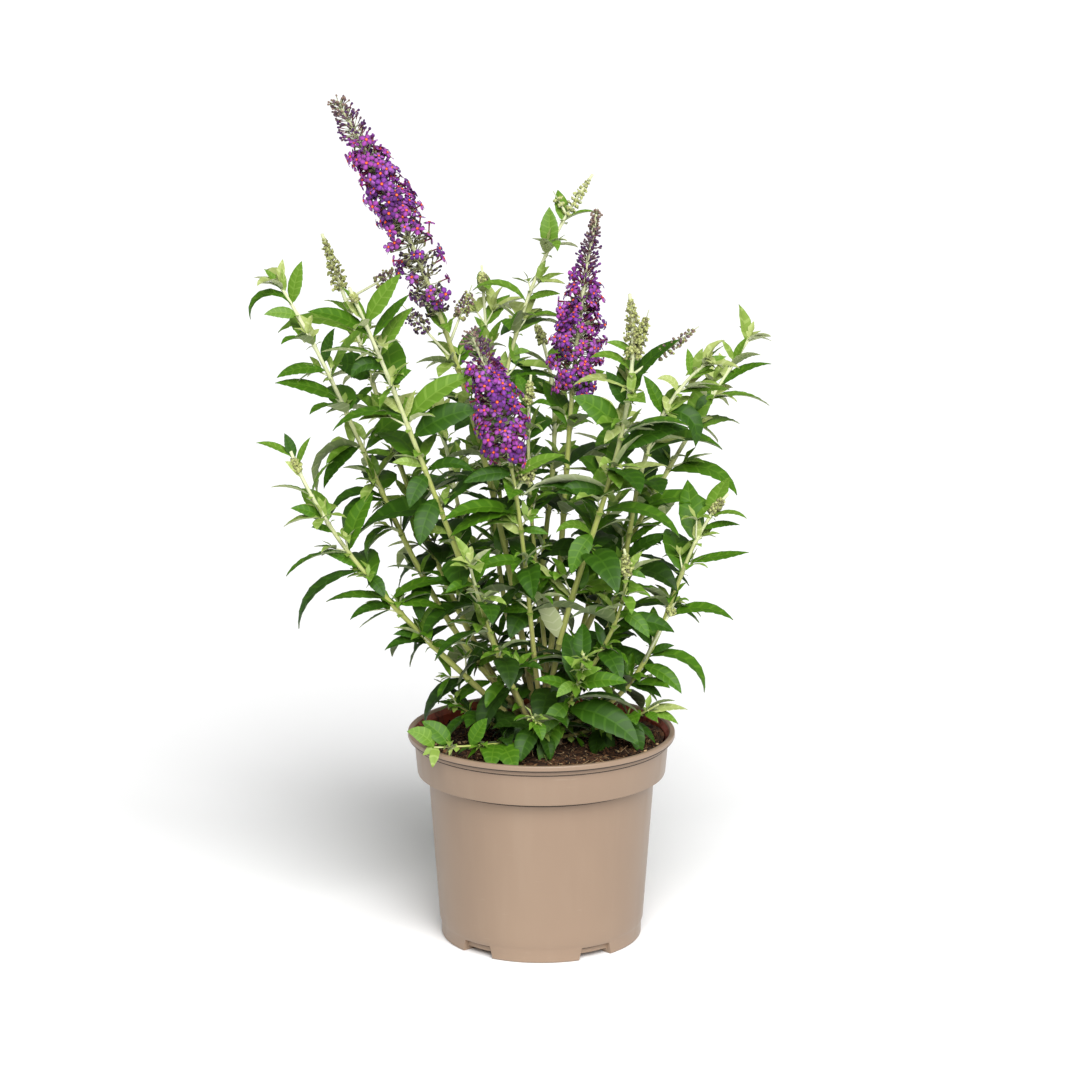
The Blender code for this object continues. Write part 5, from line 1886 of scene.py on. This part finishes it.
@dataclass
class Spike:
    """One flower spike: opposite pairs of clusters up a stem, each pair a quarter turned.

    centre and way give the stem's middle and direction at a distance. Below withered and above
    closed, shares of the length, no flower is open, and taper says how soon the spike narrows.
    """

    centre: Callable
    way: Callable
    base: float
    length: float
    radius: float
    kind: SpikeKind
    seed: int
    withered: float = 0.0
    closed: float = 0.62
    taper: float = 0.85
    pair_gap: float = 6.6 * MM
    clear_tip: float = 6.4 * MM
    floret: float = 4.5 * MM
    tube: float = 1.95
    parts: list = field(default_factory=list)
    stalks: list = field(default_factory=list)

    def __post_init__(self) -> None:
        """Start the spike's own dice."""
        self.dice = np.random.default_rng((self.seed, 41))

    def fullness(self, share: float) -> float:
        """How far the spike reaches at a share of its length, as a part of its greatest radius."""
        return min(1.0, 0.66 + 2.0 * share) * max(1 - share ** 1.6, 0) ** self.taper + 0.05

    def grow(self) -> list[Patch]:
        """Grow the spike's clusters, its stem and their stalks.

        Returns:
            The parts of the spike.
        """
        if self.kind is SpikeKind.OPEN:
            self.grow_open()
        else:
            self.grow_buds()
        marks = self.base + self.length * np.linspace(-0.03, 0.97, 14)
        path = np.array([self.centre(mark) for mark in marks])
        radii = np.linspace(1.0, 0.4, len(marks)) * MM * (1.0 if self.radius > 9 * MM else 0.7)
        self.parts.append(tubes(path[None], radii[None], 6, Bloom.RACHIS.number))
        if self.stalks:
            stalks = np.array([(root, (root + tip) / 2, tip) for root, tip, _, _ in self.stalks])
            girth = np.array([[size, size * 0.9, size * 0.75] for _, _, size, _ in self.stalks])
            slots = np.array([slot for _, _, _, slot in self.stalks])
            self.parts.append(tubes(stalks, girth, 4, slots))
        return self.parts

    def clusters(self, gap: float, tighten: float) -> list[tuple[float, Array, Array, Array]]:
        """Where the clusters stand: share of the length, middle of the stem, its way, and outwards.

        Args:
            gap: the distance between pairs at the base.
            tighten: how much closer they are at the tip, from 0 to 1.

        Returns:
            One tuple for each cluster.
        """
        found = []
        at, turn = 0.0, self.dice.uniform(0, 90)
        while at < self.length - self.clear_tip:
            share = at / self.length
            way = self.way(self.base + at)
            axes = frames(way[None], np.radians([turn]))[0]
            for side in (-1, 1):
                tilt = math.radians(self.dice.uniform(-15, 15))
                out = side * (axes[0] * math.cos(tilt) + axes[1] * math.sin(tilt))
                found.append((share, self.centre(self.base + at), way, out))
            at += gap * (1 - tighten * share)
            turn += 90 + self.dice.uniform(-12, 12)
        return found

    def grow_open(self) -> None:
        """A spike in flower: withered below, open in the middle, closed buds above."""
        opened, closed, husks = [], [], []
        for share, middle, way, out in self.clusters(self.pair_gap, 0.58):
            reach = self.radius * (self.fullness(share) + 0.15 * share ** 3)
            side = np.cross(way, out)
            for _ in range(round(11 - 5 * share)):
                fan = self.dice.uniform(-1.15, 1.15)
                lift = self.dice.uniform(-0.25, 0.95) + 0.45 * share
                aim = unit(out * math.cos(fan) + side * math.sin(fan) + way * lift)
                own = reach * self.dice.uniform(0.7, 1.08)
                fresh = self.dice.random()
                if share > self.closed + self.dice.uniform(-0.07, 0.07):
                    closed.append((middle, aim, own, share))
                elif share < self.withered + self.dice.uniform(-0.08, 0.08) and fresh > 0.2:
                    husks.append((middle, aim, own * self.dice.uniform(0.45, 0.85), share))
                elif fresh < 0.8:
                    opened.append((middle, aim, own, share))
                else:
                    closed.append((middle, aim, own * 0.85, share))
        self.lay_open(opened)
        if closed:
            self.lay_closed(closed)
        if husks:
            self.lay_husks(husks)

    @staticmethod
    def laid(spots: list) -> tuple[Array, Array, Array, Array]:
        """Flowers' places as arrays: middles of the stem, directions, tips and shares of the length."""
        middles, aims, reach, share = (np.array(part) for part in zip(*spots))
        return middles, aims, middles + aims * reach[:, None], share

    def add_stalks(self, roots: Array, ends: Array, size: float, part: Bloom) -> None:
        """Add a stalk from each root to each end."""
        self.stalks += [(root, end, size, part.number) for root, end in zip(roots, ends)]

    def lay_open(self, spots: list) -> None:
        """Set open florets at the ends of their stalks, facing out and a little to all sides.

        Args:
            spots: middle of the stem, direction, reach and share of the length of each.
        """
        tints = [Bloom.MAGENTA, Bloom.MAGENTA, Bloom.VIOLET, Bloom.LILAC, Bloom.PURPLE]
        shapes = [floret_shape(spread) for spread in (0.1, 0.5, 1.0)]
        for number, shape in enumerate(shapes):
            mine = spots[number::len(shapes)]
            if not mine:
                continue
            middles, aims, tips, _ = self.laid(mine)
            faces_at = unit(aims + self.dice.normal(0, 0.28, aims.shape) + np.array([0, -0.1, 0.1]))
            sizes = self.floret * self.dice.uniform(0.84, 1.1, len(mine))
            axes = frames(faces_at, self.dice.uniform(0, math.pi, len(mine)))
            pick = self.dice.integers(0, len(tints), len(mine))
            made = stamped(shape, tips, axes, sizes)
            petal = np.tile(shape.slots == 0, len(mine))
            tint = np.repeat(np.array([part.number for part in tints])[pick], len(shape.slots))
            made.slots = np.where(petal, tint, made.slots)
            self.parts.append(made)
            self.add_stalks(middles, tips - faces_at * self.tube * self.floret, 0.4 * MM, Bloom.RACHIS)

    def lay_closed(self, spots: list) -> None:
        """Set closed buds: slim dark clubs, browner and shorter towards the tip of the spike.

        Args:
            spots: middle of the stem, direction, reach and share of the length of each.
        """
        middles, aims, tips, share = self.laid(spots)
        count = len(spots)
        aims = unit(aims + self.dice.normal(0, 0.15, aims.shape))
        length = np.clip(9.5 * MM * (1.3 - 0.95 * share), 2.6 * MM, 9 * MM)
        length = np.minimum(length, 0.8 * np.array([spot[2] for spot in spots]))
        width = self.dice.uniform(0.75, 1.1, count) * MM
        sizes = np.stack([width, width, length], axis=-1)
        above = (share - self.closed) / (1 - self.closed)
        brown = above + self.dice.uniform(-0.15, 0.15, count) > 0.72
        dusky = (above + self.dice.uniform(-0.2, 0.2, count) > 0.48) & ~brown
        vivid = (above + self.dice.uniform(-0.2, 0.2, count) < 0.2) & ~dusky
        kind = np.where(brown, 2, np.where(dusky, 1, np.where(vivid, 3, 0)))
        made = stamped(bud_shape(), tips, frames(aims, self.dice.uniform(0, 6, count)), sizes, kind)
        body = np.array([part.number for part in (Bloom.CLOSED, Bloom.DUSKY, Bloom.BROWN_BUD, Bloom.CLUB)])
        stem = np.array([part.number for part in (Bloom.TUBE, Bloom.DUSKY, Bloom.OLIVE, Bloom.TUBE)])
        made.slots = np.where(made.slots >= 10, body[made.slots % 10], stem[made.slots % 10])
        self.parts.append(made)
        self.add_stalks(middles, tips - aims * length[:, None] * 0.9, 0.34 * MM, Bloom.RACHIS)

    def lay_husks(self, spots: list) -> None:
        """Set withered flowers: crumpled dark ends on olive cups.

        Args:
            spots: middle of the stem, direction, reach and share of the length of each.
        """
        middles, aims, tips, _ = self.laid(spots)
        aims = unit(aims + self.dice.normal(0, 0.3, aims.shape))
        axes = frames(aims, self.dice.uniform(0, 6, len(spots)))
        spans = ((0.7, 1.25), (0.5, 1.0), (3.4, 6.4))
        sizes = np.stack([self.dice.uniform(*span, len(spots)) * MM for span in spans], axis=-1)
        self.parts.append(stamped(husk_shape(), tips, axes, sizes))
        self.add_stalks(middles, tips - aims * sizes[:, 2:] * 0.9, 0.36 * MM, Bloom.OLIVE)

    def grow_buds(self) -> None:
        """A spike in bud: rings of small round buds, in clusters that stand out near its base."""
        loose = self.kind in (SpikeKind.LOOSE, SpikeKind.BROWN, SpikeKind.DARK)
        gap = 4.0 * MM if loose else min(5.4 * MM, 0.15 * self.length)
        bead = turned_bead((0.03, 0.75, 1.0, 0.7, 0.03), (-1.0, -0.65, 0.05, 0.75, 1.05), 5, (0, 0, 0, 0))
        origins, sizes, slots = [], [], []
        for share, middle, way, out in self.clusters(gap, 0.45 if loose else 0.82):
            reach = self.radius * self.fullness(share)
            if not loose:
                reach *= 1.3 - 0.5 * share ** 0.6
            side = np.cross(way, out)
            count = max(5, round((13 if loose else 20) * (1 - 0.6 * share)))
            ball = max((0.3 if loose else 0.42) * reach, 0.9 * MM)
            for _ in range(count):
                fan = self.dice.uniform(-0.9, 0.9)
                aim = unit(out * math.cos(fan) + side * math.sin(fan) + way * 0.35)
                spot = middle + aim * (reach - ball * 0.9) + ball * self.dice.normal(0, 0.42, 3)
                origins.append(spot)
                sizes.append((0.72 + 0.4 * self.dice.random()) * MM * (1.15 - 0.4 * share))
                slots.append(BUD_COLOURS[self.kind][self.dice.integers(0, 4)].number)
            tip = middle + out * reach * 0.6 + way * reach * 0.3
            self.add_stalks([middle], [tip], 0.4 * MM, Bloom.RACHIS)
        aims = unit(self.dice.normal(size=(len(origins), 3)) + np.array([0, 0, 1.2]))
        axes = frames(aims, self.dice.uniform(0, 6, len(origins)))
        self.parts.append(stamped(bead, np.array(origins), axes, np.array(sizes), np.array(slots)))


def bud_shape() -> Patch:
    """A closed bud of unit length: a slim stem that ends in a round club.

    Returns:
        The bud. The stem's slot is 0 and the club's is 10.
    """
    radii = (0.04, 0.42, 0.4, 0.5, 0.92, 1.0, 0.7, 0.04)
    heights = (-1.0, -0.96, -0.6, -0.36, -0.24, -0.1, 0.02, 0.06)
    return turned_bead(radii, heights, 5, (0, 0, 0, 10, 10, 10, 10))


def husk_shape() -> Patch:
    """A withered flower of unit length: an olive cup and a dark crumpled end.

    Returns:
        The flower.
    """
    radii = (0.04, 0.7, 0.9, 0.45, 0.9, 1.1, 0.04)
    heights = (-1.0, -0.9, -0.6, -0.45, -0.2, 0.0, 0.1)
    slots = [Bloom.OLIVE.number] * 3 + [Bloom.WITHERED.number] * 3
    made = turned_bead(radii, heights, 5, slots)
    made.points[:, :2] *= 1 + 0.35 * ripple(made.points * MM, 1.1 * MM, 51)[:, None]
    return made


# --- the whole plant ---


@dataclass
class Bush:
    """All the canes with their leaves and spikes."""

    stump: Stump
    skin: CaneSkin = field(default_factory=CaneSkin)
    courses: list = field(default_factory=list)
    masses: list = field(default_factory=list)

    def build(self) -> None:
        """Grow every cane, then make the canes, twigs, leaves and blossom."""
        self.courses = [Course(cane, self.stump) for cane in CANES]
        self.masses = [Foliage(course, number) for number, course in enumerate(self.courses)]
        finishes = leaf_finishes()
        for mass in self.masses:
            mass.grow()
            mass.build(finishes)
        self.build_canes()
        self.build_spikes()

    def build_canes(self) -> None:
        """Make all the canes as one piece, and all their side twigs as another."""
        skin = self.skin.material()
        nodes = [cane.name + "_cane" for cane in CANES if cane.bare]
        piece("canes", joined([course.skin() for course in self.courses]), [skin], nodes)
        ends = [twig for mass in self.masses for twig in mass.twigs]
        for spec, root, way in self.side_twigs():
            ends.append((root, root + way * (spec.twig + 2) * MM, 1.1 * MM, 0.8 * MM))
        paths = np.array([np.linspace(root, tip, 4) for root, tip, _, _ in ends])
        radii = np.array([np.linspace(thick, thin, 4) for _, _, thick, thin in ends])
        piece("twigs", tubes(paths, radii, 6, 0, np.full(radii.shape, 0.9)), [skin])

    def side_twigs(self) -> list:
        """Every side twig that carries a spike.

        Returns:
            Its side spike, foot and direction.
        """
        return [(spec, course.point(course.length - spec.below_tip * MM),
                 polar(np.radians(spec.bearing), np.radians(spec.climb)))
                for course in self.courses for spec in course.cane.side_spikes]

    def build_spikes(self) -> None:
        """Make the spikes in flower each as a piece, and all the spikes in bud as one."""
        finishes = bloom_finishes()
        budded = []
        for number, course in enumerate(self.courses):
            cane = course.cane
            if not cane.spike:
                continue
            base = course.length - cane.spike * MM
            parts = Spike(course.point, course.way, base, cane.spike * MM, cane.spike_radius * MM,
                          cane.kind, number, cane.withered, cane.closed, cane.taper).grow()
            if cane.kind is SpikeKind.OPEN:
                piece(cane.name + "_blossom", joined(parts), finishes)
            else:
                budded.extend(parts)
        for number, (spec, root, way) in enumerate(self.side_twigs()):
            budded.extend(Spike(lambda d, r=root, w=way: r + w * d, lambda d, w=way: w, spec.twig * MM,
                                spec.spike * MM, spec.radius * MM, spec.kind, 100 + number).grow())
        piece("buds", joined(budded), finishes)


# --- stage ---


@dataclass
class Stage:
    """A plain pale floor, soft studio light and the camera. Angles are in degrees."""

    floor_size: float = 60.0
    floor_colour: tuple = (250, 250, 250)
    camera_at: tuple = (-0.001, -2.2, 0.777)
    pitch: float = 12.54
    lens: float = 106.93
    sensor: float = 36.0
    sky: float = 0.22
    key: float = 4.6
    key_height: float = 42.0
    key_bearing: float = 12.0
    key_width: float = 48.0

    def build(self) -> None:
        """Lay the floor, hang the lights and set the camera."""
        half, level = self.floor_size / 2, -0.2 * MM
        corners = [(-half, -half, level), (half, -half, level), (half, half, level), (-half, half, level)]
        mesh = bpy.data.meshes.new("floor")
        mesh.from_pydata(corners, [], [(0, 1, 2, 3)])
        mesh.materials.append(plain("floor_paper", self.floor_colour, 0.9, specular=0.1))
        floor = put("floor", mesh)
        world = bpy.data.worlds.new("studio")
        world.use_nodes = True
        sky = world.node_tree.nodes["Background"].inputs
        sky["Color"].default_value, sky["Strength"].default_value = (1, 1, 1, 1), self.sky
        bpy.context.scene.world = world
        lamp = bpy.data.lights.new("key", "SUN")
        lamp.energy, lamp.angle = self.key, math.radians(self.key_width)
        turn = (math.radians(90 - self.key_height), 0, math.radians(self.key_bearing))
        put("key", lamp).rotation_euler = turn
        camera = bpy.data.cameras.new("camera")
        camera.lens, camera.sensor_width = self.lens, self.sensor
        camera.clip_start, camera.clip_end = 0.05, 200
        made = put("camera", camera)
        made.location = self.camera_at
        made.rotation_euler = (math.radians(90 - self.pitch), 0, 0)
        bpy.context.scene.camera = made
        bpy.context.scene.view_settings.view_transform = "Standard"


def main() -> None:
    """Build the pot, the soil, the stump, the plant and the stage, in that order."""
    logging.basicConfig(level=logging.INFO, format="%(message)s")
    stump = Stump()
    Pot().build()
    Soil().build()
    stump.build()
    Bush(stump).build()
    Stage().build()


if __name__ == "__main__":
    main()
